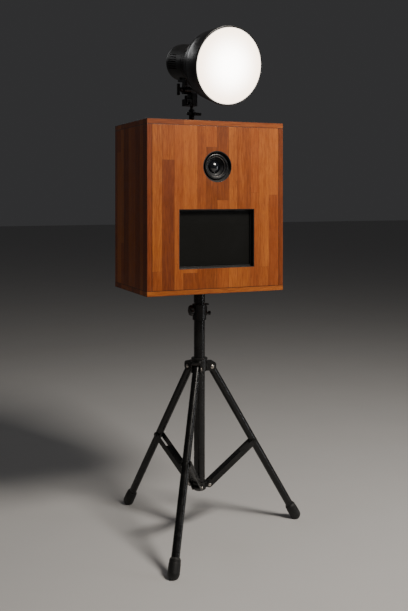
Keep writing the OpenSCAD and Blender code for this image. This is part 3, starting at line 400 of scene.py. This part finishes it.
def makeLensGlass():      # a coated element seen deep in the barrel, drawn opaque and near black as painted shade of the dark barrel behind it
    material, tree, shader, place = startMaterial(
        "lensGlass", {"Coat Weight": 1.0, "Coat Roughness": 0.08, "Specular IOR Level": 0.6})
    ripple = noise(tree, place, 60.0, 2.0)
    # opaque near-black base colour: painted shade standing in for the dark inside of the barrel seen through the
    # glass
    tree.links.new(mixColour(tree, ripple, rgb(0.004, 0.004, 0.006), rgb(0.008, 0.010, 0.014)),
                   shader.inputs["Base Color"])
    tree.links.new(calc(tree, "MULTIPLY_ADD", ripple, 0.05, 0.16), shader.inputs["Roughness"])
    return material


diffuserLook = {"centre": rgb(1.0, 0.965, 0.90), "edge": rgb(0.44, 0.325, 0.24), "rim": rgb(0.16, 0.145, 0.13),
                "strength": 11.0, "frost": rgb(0.80, 0.79, 0.77)}


def makeDiffuserFrost(look=diffuserLook):      # lit from behind, brightest in the middle
    material, tree, shader, place = startMaterial(
        "diffuserFrost", {"Emission Strength": look["strength"], "Specular IOR Level": 0.3,
                          "Subsurface Weight": 0.1})
    wide = spanAlong("diffuser", lampFrame)[2]
    inLamp = addNode(tree, "Mapping", {"Vector": place, "Location": lampFrame.translation,
                                       "Rotation": lampFrame.to_euler()}, vector_type="TEXTURE").outputs[0]
    axes = addNode(tree, "SeparateXYZ", {0: inLamp}).outputs
    outward = addNode(tree, "VectorMath", {0: addNode(tree, "CombineXYZ", {0: axes[0], 1: axes[1]}).outputs[0]},
                      operation="LENGTH").outputs["Value"]
    frost = noise(tree, place, 900.0, 2.0, 0.6)
    edge = wide * mm
    glow = mixColour(tree, fade(tree, outward, edge * 0.12, edge * 0.97), look["centre"], look["edge"])
    tree.links.new(mixColour(tree, fade(tree, outward, edge - 0.0025, edge - 0.0012), glow, look["rim"]),
                   shader.inputs["Emission Color"])
    tree.links.new(mixColour(tree, frost, look["frost"], rgb(0.88, 0.87, 0.85)), shader.inputs["Base Color"])
    tree.links.new(calc(tree, "MULTIPLY_ADD", frost, 0.1, 0.5), shader.inputs["Roughness"])
    setBump(tree, shader, frost, 0.15, 0.0002)
    return material


frontWood = makeWood("frontWood", "front_panel", "X", "Z", 3.0)
leftWood = makeWood("leftWood", "left_side", "Y", "Z", 12.0, staveLength=0.7)
rightWood = makeWood("rightWood", "right_side", "Y", "Z", 17.0, staveLength=0.7)
topWood = makeWood("topWood", "top_board", "Y", "X", 24.0, staveLength=7.0)
bottomWood = makeWood("bottomWood", "bottom_board", "Y", "X", 31.0, staveLength=7.0)
doorWood = makeWood("doorWood", "rear_door", "X", "Z", 41.0)
shelfWood = makeWood("shelfWood", "camera_shelf", "Y", "X", 53.0, staveLength=2.0)
powderCoat = makeCoat("powderCoat", rgb(0.0035, 0.0035, 0.0035), 0.22, peel=1.0, bump=0.03, wear=0.15,
                      dusty=0.06, constants={"Specular IOR Level": 0.4})
blackCasting = makeCoat("blackCasting", rgb(0.0045, 0.0045, 0.0045), 0.30, peel=1.6, bump=0.16, wear=0.22,
                        dusty=0.10, constants={"Specular IOR Level": 0.4})
knobPlastic = makeCoat("knobPlastic", rgb(0.006, 0.006, 0.006), 0.36, peel=0.7, bump=0.12, wear=0.12,
                       dusty=0.10, bare=rgb(0.06, 0.06, 0.06))
nylonBlack = makeCoat("nylonBlack", rgb(0.022, 0.022, 0.023), 0.55, peel=0.6, bump=0.08, wear=0.0)
rubberBlack = makeRubber("rubberBlack", rgb(0.007, 0.007, 0.007), 0.55)
darkSteel = makeMetal("darkSteel", rgb(0.10, 0.10, 0.10), 0.36)
zincSteel = makeMetal("zincSteel", rgb(0.62, 0.61, 0.58), 0.32)
boltSteel = makeMetal("boltSteel", rgb(0.50, 0.46, 0.42), 0.30, "X")
blackTrim = makeCoat("blackTrim", rgb(0.004, 0.004, 0.004), 0.50, peel=0.8, bump=0.08, wear=0.0, dusty=0.06)
monitorPlastic = makeCoat("monitorPlastic", rgb(0.014, 0.014, 0.015), 0.55, peel=0.9, bump=0.2, wear=0.0)
screenGlass = makeScreenGlass()
cameraPlastic = makeCoat("cameraPlastic", rgb(0.010, 0.010, 0.010), 0.50, peel=2.4, bump=0.35, wear=0.15,
                         bare=rgb(0.07, 0.07, 0.07))
lensMetal = makeCoat("lensMetal", rgb(0.007, 0.007, 0.008), 0.26, peel=0.5, bump=0.03, wear=0.25, dusty=0.05,
                     bare=rgb(0.16, 0.16, 0.17), constants={"Coat Weight": 0.3, "Coat Roughness": 0.2})
lensGlass = makeLensGlass()
lensRubber = makeRubber("lensRubber", rgb(0.012, 0.012, 0.012), 0.65, 0.8)
stripPlastic = makeCoat("stripPlastic", rgb(0.66, 0.65, 0.61), 0.42, peel=0.8, bump=0.1, wear=0.0, dusty=0.2)
lampPaint = makeCoat("lampPaint", rgb(0.009, 0.009, 0.009), 0.30, peel=1.1, bump=0.14, wear=0.15, dusty=0.12)
reflectorPaint = makeCoat("reflectorPaint", rgb(0.010, 0.010, 0.010), 0.26, peel=1.2, bump=0.10, wear=0.10,
                          dusty=0.12)
diffuserFrost = makeDiffuserFrost()
ledBoard = makeCoat("ledBoard", rgb(0.55, 0.50, 0.30), 0.45, peel=0.5, bump=0.05, wear=0.0, dusty=0.05)
print("materials made:", len(bpy.data.materials))

# mesh helpers


def addPiece(name, bm, body, slotName, material, standsFor=(), matrix=None, sharp=32.0, second=None):
    mesh = bpy.data.meshes.new(name)
    if matrix is not None:
        bmesh.ops.transform(bm, matrix=matrix, verts=bm.verts)
    bmesh.ops.recalc_face_normals(bm, faces=bm.faces)
    bm.to_mesh(mesh)
    bm.free()
    mesh.materials.append(material)
    if second:
        mesh.materials.append(second)
    mesh.shade_smooth()
    mesh.set_sharp_from_angle(angle=radians(sharp))
    piece = bpy.data.objects.new(name, mesh)
    bpy.context.scene.collection.objects.link(piece)
    flatten = piece.modifiers.new("flatFaces", "WEIGHTED_NORMAL")
    flatten.keep_sharp = True
    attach(piece, body)
    if standsFor:
        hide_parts(*standsFor)


def bodyOf(node):
    return frame["nodes"][node]["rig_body"]


def softenEdges(bm, width, angle=30.0, segments=2):
    edges = [edge for edge in bm.edges
             if len(edge.link_faces) == 2 and edge.calc_face_angle(0.0) > radians(angle)]
    bmesh.ops.bevel(bm, geom=edges, offset=width, segments=segments, profile=0.5, affect="EDGES",
                    clamp_overlap=True, miter_outer="ARC")


def surfaceArea(bm):
    return sum(face.calc_area() for face in bm.faces)


def refinedShape(node, edge):     # a welded copy of a node's shape, with flat faces joined and edges eased
    for joinFaces, width in ((True, edge), (False, edge), (False, 0.0)):
        bm = bmesh.new()
        bm.from_mesh(frame["nodes"][node].data)
        bmesh.ops.remove_doubles(bm, verts=bm.verts, dist=0.00001)
        area = surfaceArea(bm)
        if joinFaces:
            bmesh.ops.dissolve_limit(bm, angle_limit=radians(0.6), verts=bm.verts, edges=bm.edges,
                                     delimit={"NORMAL"})
        if width:
            softenEdges(bm, width)
        bmesh.ops.triangulate(bm, faces=[face for face in bm.faces if len(face.verts) > 4])
        if abs(surfaceArea(bm) / area - 1.0) < 0.12:    # otherwise a face with a hole came out wrong
            return bm
        bm.free()
        print("edges eased another way:", node)


def addRefined(node, edge, slotName, material, small=None):
    # small is (size, material): separate solids below that size, such as rivets, get it
    bm = refinedShape(node, edge)
    if small:
        size = small[0]
        for island in islands(bm):
            spread = [max(vert.co[k] for vert in island) - min(vert.co[k] for vert in island) for k in range(3)]
            if max(spread) < size:
                for face in {face for vert in island for face in vert.link_faces}:
                    face.material_index = 1
    addPiece(node + "_shape", bm, bodyOf(node), slotName, material, [node],
             second=small[1] if small else None)


def islands(bm):
    left = set(bm.verts)
    while left:
        found = [left.pop()]
        for vert in found:
            for edge in vert.link_edges:
                other = edge.other_vert(vert)
                if other in left:
                    left.discard(other)
                    found.append(other)
        yield found


def rounded(outline, steps=3):     # each point is (radius, height) or (radius, height, corner radius)
    result = []
    count = len(outline)
    for i, point in enumerate(outline):
        here = Vector(point[:2])
        corner = point[2] if len(point) > 2 else 0.0
        before, after = Vector(outline[i - 1][:2]), Vector(outline[(i + 1) % count][:2])
        if not corner:
            result.append(here)
            continue
        inward, outward = before - here, after - here
        reach = min(corner, inward.length * 0.45, outward.length * 0.45)
        start, end = here + inward.normalized() * reach, here + outward.normalized() * reach
        for k in range(steps + 1):
            t = k / steps
            result.append(start * (1 - t) ** 2 + here * 2 * t * (1 - t) + end * t * t)
    return result


def lathe(bm, outline, steps=96, shape=None):
    # outline in millimetres, turned about Z; shape(angle, index) scales the radius
    rings = []
    for k in range(steps):
        angle = tau * k / steps
        ring = []
        for i, (radius, height) in enumerate(outline):
            reach = max(radius, 0.0) * mm * (shape(angle, i) if shape else 1.0)
            ring.append(bm.verts.new((reach * cos(angle), reach * sin(angle), height * mm)))
        rings.append(ring)
    count = len(outline)
    for k in range(steps):
        here, after = rings[k], rings[(k + 1) % steps]
        for i in range(count):
            j = (i + 1) % count
            if outline[i][0] <= 0 and outline[j][0] <= 0:
                continue
            bm.faces.new((here[i], after[i], after[j], here[j]))
    bmesh.ops.remove_doubles(bm, verts=[vert for ring in rings for vert in ring], dist=0.000001)
    flat = [face for face in bm.faces if face.calc_area() < 1e-14]
    bmesh.ops.delete(bm, geom=flat, context="FACES")


def latheAt(bm, outline, matrix, steps=48, shape=None):     # a turned shape added to bm at its place
    turned = bmesh.new()
    lathe(turned, outline, steps, shape)
    bmesh.ops.transform(turned, matrix=matrix, verts=turned.verts)
    spare = bpy.data.meshes.new("spare")
    turned.to_mesh(spare)
    turned.free()
    bm.from_mesh(spare)
    bpy.data.meshes.remove(spare)


# cabinet

cabinetLook = {"edge": 0.0007, "fittingEdge": 0.0004}


def makeCabinet(look=cabinetLook):
    boards = {"top_board": topWood, "bottom_board": bottomWood, "left_side": leftWood,
              "right_side": rightWood, "front_panel": frontWood, "rear_door": doorWood}
    for node, material in boards.items():
        addRefined(node, look["edge"], "varnished_wood", material)
    addRefined("camera_shelf", look["edge"], "shelf_wood", shelfWood)
    fittings = {"pole_socket": ("black_powder_coat", powderCoat), "cabinet_screws": ("zinc_steel", zincSteel),
                "screen_bezel": ("black_trim", blackTrim), "monitor_case": ("monitor_plastic", monitorPlastic),
                "screen_glass": ("screen_glass", screenGlass), "monitor_clips": ("zinc_steel", zincSteel),
                "camera_body": ("camera_plastic", cameraPlastic), "power_strip": ("strip_plastic", stripPlastic),
                "mains_inlet": ("black_trim", blackTrim), "door_hardware": ("zinc_steel", zincSteel),
                "door_leaves": ("zinc_steel", zincSteel), "door_lock": ("zinc_steel", zincSteel)}
    for node, (slotName, material) in fittings.items():
        addRefined(node, look["fittingEdge"], slotName, material)


makeCabinet()
print("cabinet made")

# stand

knobLook = {    # grip radius, lobes and how deep they are cut, for each clamp knob
    "clamp_knob": {"joint": "mast_clamp_turn", "grip": 20.0, "lobes": 7, "cut": 0.13, "screw": 5.0,
                   "gripLength": 12.0},
    "hub_knob": {"joint": "hub_clamp_turn", "grip": 15.0, "lobes": 6, "cut": 0.14, "screw": 4.0,
                 "gripLength": 11.0},
}


def makeLobedKnob(node, look):
    bm = bmesh.new()
    frameHere = axisMatrix(joints[look["joint"]]["pos_m"], joints[look["joint"]]["axis"])
    low, high = spanAlong(node, frameHere)[:2]
    grip, screw, top = look["grip"], look["screw"], high - 2.0
    base = top - look["gripLength"]
    outline = rounded([(0.0, low), (screw - 0.6, low), (screw, low + 0.6), (screw, base), (grip * 0.72, base),
                       (grip, base + 1.0, 1.5), (grip, top - 1.2, 3.0), (grip * 0.66, top),
                       (grip * 0.60, top + 0.2), (grip * 0.56, high, 1.0), (grip * 0.30, high),
                       (grip * 0.26, high - 1.0), (0.0, high - 1.0)])

    def lobes(angle, i):
        if outline[i][0] < grip * 0.7:
            return 1.0
        return 1.0 - look["cut"] * (0.5 - 0.5 * cos(look["lobes"] * angle)) ** 1.6

    latheAt(bm, outline, frameHere, 126, lobes)
    addPiece(node + "_moulded", bm, bodyOf(node), "knob_plastic", knobPlastic, [node])


footLook = {"radius": 20.0, "length": 62.0, "legRadius": 14.0, "sole": 12.0, "grooves": 2, "taper": 0.9}


def makeFoot(side, look=footLook):     # local Z runs down the leg and starts at the ball end's centre
    radius, taper = look["radius"], look["taper"]
    ballHeight = sqrt(radius ** 2 - look["sole"] ** 2) * mm
    sole = next(mount for mount in frame["record"]["mounts"] if mount["name"] == "foot_" + side + "_face")
    ball = Vector(sole["pos_m"]) + Vector((0, 0, ballHeight))
    down = ball - Vector(joints[side + "_leg_fold"]["pos_m"])
    top = radius - look["length"]
    outline = [(look["legRadius"], 0.0), (look["legRadius"], top - 4.4), (look["legRadius"] + 1.6, top - 5.0),
               (look["legRadius"] + 2.5, top - 4.2), (radius - taper - 0.8, top), (radius - taper, top + 1.0)]
    for k in range(look["grooves"]):
        at = top + 4.0 + 4.0 * k
        outline += [(radius - taper, at), (radius - taper - 0.8, at + 0.5), (radius - taper - 0.8, at + 1.1),
                    (radius - taper, at + 1.6)]
    outline += [(radius, top + 15.0)]
    steps = 18
    for k in range(steps + 1):
        angle = tau / 4 * k / steps
        outline.append((radius * cos(angle), radius * sin(angle)))
    outline.append((0.0, 0.0))
    bm = bmesh.new()
    latheAt(bm, outline, axisMatrix(ball, down), 72)
    for vert in bm.verts:
        vert.co.z = max(vert.co.z, 0.0)
    bmesh.ops.dissolve_degenerate(bm, dist=0.00001, edges=bm.edges)
    node = "foot_" + side
    addPiece(node + "_moulded", bm, bodyOf(node), "rubber_black", rubberBlack, [node])


pinLook = {     # radius of the shank, half its length, head radius and thickness, and radius of a hex socket
    "leg_pivot_bolts": {"joint": "_leg_fold", "shank": 4.0, "half": 17.6, "head": 7.0, "thick": 3.0,
                        "socket": 2.6},
    "lower_hub_pins": {"joint": "_brace_fold", "shank": 4.0, "half": 17.8, "head": 6.0, "thick": 2.5,
                       "socket": 0.0},
}


def makePivotPins(node, look):         # domed heads, with a hex socket where there is one
    half, head, thick = look["half"], look["head"], look["thick"]
    side = [(0.0, half + thick - 0.6), (head * 0.45, half + thick), (head * 0.75, half + thick - 0.5),
            (head * 0.95, half + thick * 0.5), (head, half + 0.4), (head - 0.3, half), (look["shank"], half)]
    if look["socket"]:
        side[0] = (look["socket"], half + thick - 0.1)
        side = [(0.0, half + 0.8), (look["socket"], half + 0.8)] + side
    outline = side + [(r, -z) for r, z in reversed(side)]
    bm = bmesh.new()
    for place in ("right", "rear", "front"):
        joint = joints[place + look["joint"]]
        latheAt(bm, outline, axisMatrix(joint["pos_m"], joint["axis"]), 48)
    addPiece(node + "_turned", bm, bodyOf(node), "zinc_steel", boltSteel, [node])


def makeStand():
    plain = {"main_tube": ("black_powder_coat", powderCoat, 0.0003),
             "lower_hub": ("black_casting", blackCasting, 0.0004),
             "clamp_collar": ("black_casting", blackCasting, 0.0005),
             "mast_bush": ("nylon", nylonBlack, 0.0004), "height_pin": ("knob_plastic", knobPlastic, 0.0006),
             "leg_hub": ("black_powder_coat", blackCasting, 0.0005), "hub_bush": ("nylon", nylonBlack, 0.0004),
             "inner_mast": ("black_powder_coat", powderCoat, 0.0003), "mast_plugs": ("nylon", nylonBlack, 0.0004)}
    for node, (slotName, material, edge) in plain.items():
        addRefined(node, edge, slotName, material)
    for side in ("right", "rear", "front"):
        addRefined("leg_" + side, 0.0004, "black_powder_coat", powderCoat)
        addRefined("brace_" + side, 0.0005, "black_powder_coat", powderCoat, small=(0.016, boltSteel))
        makeFoot(side)
    for node, look in knobLook.items():
        makeLobedKnob(node, look)
    for node, look in pinLook.items():
        makePivotPins(node, look)


makeStand()
print("stand made")

# camera lens, with its local Z out of the cabinet and heights counted from its front

lensLook = {
    "edge": 0.0003, "ringWidth": 4.6, "threads": 5, "threadDepth": 0.55, "accentRadius": 35.4, "accentWidth": 0.7,
    "coneMouth": 31.0, "coneFoot": 23.4, "glassRadius": 23.2, "glassCurve": 27.0, "glassFront": -9.0,
    "glassBack": -24.0,
}


def domeOutline(radius, curve, front, back, steps=14):      # a crowned disc: flat behind, spherical in front
    heights = []
    for k in range(steps + 1):
        r = radius * k / steps
        heights.append((r, front - curve + sqrt(curve * curve - r * r)))
    return heights + [(radius, back), (0.0, back)]


def makeLens(look=lensLook):
    lensFrame = axisMatrix(joints["zoom_turn"]["pos_m"], joints["zoom_turn"]["axis"], (0, 0, 1))
    back, front, outer = spanAlong("lens_barrel", lensFrame)
    mouth = outer - look["ringWidth"]
    outline = [(mouth, front - 0.5), (mouth + 0.5, front), (outer - 1.6, front), (outer - 0.5, front - 0.6),
               (outer, front - 1.8), (outer, -15.6), (outer - 0.5, -16.6), (outer - 3.0, -18.0),
               (outer - 3.0, -52.0), (outer - 1.0, -54.0), (outer - 3.0, -74.0), (outer - 6.1, -76.0),
               (outer - 6.1, back), (20.0, back), (20.0, -40.0), (look["coneFoot"], -26.0),
               (look["coneFoot"], -20.0), (25.6, -19.6), (25.8, -17.2), (28.2, -16.8), (28.4, -14.2),
               (look["coneMouth"], -13.8), (look["coneMouth"] + 0.8, -12.0), (33.4, -7.6), (35.0, -7.2),
               (36.0, -7.2), (36.4, -6.6), (36.7, -4.4)]
    pitch = 3.6 / look["threads"]
    for k in range(look["threads"]):               # filter thread
        outline += [(mouth - look["threadDepth"], -4.2 + k * pitch), (mouth, -4.2 + (k + 0.5) * pitch)]
    bm = bmesh.new()
    lathe(bm, outline, 128)
    addPiece("lens_barrel_turned", bm, "cabinet", "lens_metal", lensMetal, ["lens_barrel"], lensFrame)
    bm = bmesh.new()
    r, w = look["accentRadius"], look["accentWidth"]
    lathe(bm, [(r - w, -7.3), (r - w, -6.9), (r, -6.4), (r + 0.1, -7.3)], 128)
    addPiece("lens_accent_ring", bm, "cabinet", "lens_metal", boltSteel, (), lensFrame)
    bm = bmesh.new()
    lathe(bm, domeOutline(look["glassRadius"], look["glassCurve"], look["glassFront"], look["glassBack"]), 96)
    addPiece("lens_front_element", bm, "cabinet", "lens_glass", lensGlass, ["lens_glass"], lensFrame)
    addRefined("port_liner", look["edge"], "black_trim", blackTrim)
    addRefined("zoom_ring", look["edge"], "lens_rubber", lensRubber)


makeLens()
print("lens made")

# lamp, with its local Z forward along the lamp's axis

lampLook = {
    "sheet": 1.6, "neck": 71.0, "mouthInset": 4.0, "bowlStart": 18.0, "bandLength": 10.0, "bandEdge": 1.8,
    "ribs": (0.36, 0.46, 0.56, 0.66), "ribWidth": 0.028, "ribHeight": 1.8,
    "diffuserThick": 3.0, "diffuserWall": 2.2, "diffuserInside": 0.995,
}


def bowlOutline(low, high, wide, look, inset=0.0, steps=90):
    # radius against height from the neck to the band; it opens fast and then runs nearly straight
    start, end, mouth = low + look["bowlStart"], high - look["bandLength"], wide - look["mouthInset"]
    points = []
    for k in range(steps + 1):
        spread = k / steps
        u = spread * spread
        radius = look["neck"] + (mouth - look["neck"]) * sqrt(sin(tau / 4 * u))
        rib = 0.0
        for at in look["ribs"]:
            off = (spread - at) / look["ribWidth"]
            rib = max(rib, 1.0 - off * off)
        points.append((radius - inset + (0.0 if inset else max(rib, 0.0) * look["ribHeight"]),
                       start + (end - start) * u))
    return points


def makeReflector(look=lampLook):
    low, high, wide = spanAlong("reflector", lampFrame)
    neck, sheet, edge = look["neck"], look["sheet"], look["bandEdge"]
    outline = [(neck - 13.0, low), (neck + 2.4, low), (neck + 3.0, low + 0.6), (neck + 3.0, low + 4.4),
               (neck + 2.4, low + 5.0), (neck, low + 5.6)]
    for k in (1, 2):                        # two raised rings on the neck
        foot = low + k * 6.0
        outline += [(neck, foot), (neck + 1.6, foot + 0.3), (neck + 1.9, foot + 1.2), (neck + 1.6, foot + 2.2),
                    (neck, foot + 2.5)]
    outline += bowlOutline(low, high, wide, look)
    start = high - look["bandLength"]
    outline += [(wide - edge, start + 0.2), (wide - 0.4, start + 0.8), (wide, start + edge),
                (wide, high - edge), (wide - 0.5, high - 0.6), (wide - edge, high), (wide - 4.8, high),
                (wide - 5.6, high - 0.8), (wide - 5.6, start)]
    outline += list(reversed(bowlOutline(low, high, wide, look, inset=sheet)))
    outline += [(neck - sheet, low + sheet + 1.0), (neck - 13.0, low + sheet + 1.0)]
    bm = bmesh.new()
    lathe(bm, outline, 144)
    addPiece("reflector_spun", bm, "lamp", "reflector_paint", reflectorPaint, ["reflector"], lampFrame)


def makeDiffuser(look=lampLook):
    low, high, wide = spanAlong("diffuser", lampFrame)
    edgeHeight, steps = low + look["diffuserThick"], 24
    outline = []
    for k in range(steps + 1):
        share = k / steps
        outline.append((wide * share, high - (high - edgeHeight) * share * share))
    outline += [(wide, low)]
    for k in range(steps, -1, -1):
        share = k / steps
        outline.append((wide * share * look["diffuserInside"],
                        high - look["diffuserWall"] - (high - edgeHeight) * share * share))
    bm = bmesh.new()
    lathe(bm, outline, 144)
    addPiece("diffuser_dome", bm, "lamp", "diffuser_frost", diffuserFrost, ["diffuser"], lampFrame)


def makeLamp():
    parts = {"lamp_post": ("black_casting", blackCasting, 0.0005), "spigot": ("zinc_steel", darkSteel, 0.0004),
             "post_knob": ("knob_plastic", knobPlastic, 0.0006),
             "bracket_base": ("black_casting", blackCasting, 0.0008),
             "umbrella_screw": ("knob_plastic", knobPlastic, 0.0003),
             "tilt_lever": ("knob_plastic", knobPlastic, 0.0010),
             "tilt_arm": ("black_casting", blackCasting, 0.0008),
             "lamp_housing": ("lamp_paint", lampPaint, 0.0004),
             "lamp_rear_panel": ("lamp_paint", lampPaint, 0.0005),
             "power_dial": ("knob_plastic", knobPlastic, 0.0004),
             "lamp_switch": ("knob_plastic", knobPlastic, 0.0004), "lock_ring": ("lamp_paint", lampPaint, 0.0004),
             "lamp_led": ("led_board", ledBoard, 0.0004)}
    for node, (slotName, material, edge) in parts.items():
        addRefined(node, edge, slotName, material)
    makeReflector()
    makeDiffuser()


makeLamp()
print("lamp made")

# floor, lights and camera

studioLook = {
    "floorSize": 60.0, "floor": rgb(0.62, 0.61, 0.60), "world": rgb(0.30, 0.30, 0.31), "worldStrength": 0.12,
    # name: (place, aim, width, height, watts, colour)
    "lights": {
        "keySoftbox": ((0.85, -2.2, 3.15), (0.0, 0.0, 1.3), 0.9, 0.8, 120.0, (1.0, 0.94, 0.86)),
        "sideStrip": ((2.3, -1.6, 0.9), (0.0, 0.0, 0.6), 0.14, 1.7, 9.0, (0.97, 0.98, 1.0)),
        "backSoftbox": ((-0.5, 2.4, 2.7), (0.0, 0.0, 1.7), 1.8, 0.5, 5.0, (1.0, 1.0, 1.0)),
    },
}


def makeStudio(look=studioLook):
    bm = bmesh.new()
    half = look["floorSize"] / 2
    corners = [bm.verts.new((x, y, 0.0)) for x, y in ((-half, -half), (half, -half), (half, half), (-half, half))]
    bm.faces.new(corners)
    mesh = bpy.data.meshes.new("floor")
    bm.to_mesh(mesh)
    bm.free()
    material, tree, shader, place = startMaterial("paleFloor", {"Roughness": 0.75})
    patches = noise(tree, place, 3.0, 5.0, 0.6)
    tree.links.new(mixColour(tree, patches, look["floor"], rgb(0.58, 0.57, 0.56)), shader.inputs["Base Color"])
    mesh.materials.append(material)
    floor = bpy.data.objects.new("floor", mesh)
    bpy.context.scene.collection.objects.link(floor)
    world = bpy.data.worlds.new("studio")
    world.use_nodes = True
    sky = world.node_tree.nodes["Background"]
    sky.inputs["Color"].default_value = look["world"]
    sky.inputs["Strength"].default_value = look["worldStrength"]
    bpy.context.scene.world = world
    for name, (place, aim, width, height, watts, colour) in look["lights"].items():
        light = bpy.data.lights.new(name, "AREA")
        light.shape, light.size, light.size_y = "RECTANGLE", width, height
        light.energy, light.color = watts, colour
        lamp = bpy.data.objects.new(name, light)
        bpy.context.scene.collection.objects.link(lamp)
        lamp.location = place
        lamp.rotation_euler = (Vector(aim) - Vector(place)).to_track_quat("-Z", "Y").to_euler()


cameraLook = {"place": (-1.1828, -2.7184, 1.2244), "turn": 23.84, "lens": 47.8, "shiftDown": 0.180}


def makeCamera(look=cameraLook):
    data = bpy.data.cameras.new("camera")
    data.lens, data.sensor_width, data.shift_y = look["lens"], 36.0, -look["shiftDown"]
    camera = bpy.data.objects.new("camera", data)
    bpy.context.scene.collection.objects.link(camera)
    camera.location = look["place"]
    camera.rotation_euler = (radians(90.0), 0.0, radians(-look["turn"]))
    bpy.context.scene.camera = camera


makeStudio()
makeCamera()
print("studio and camera made")
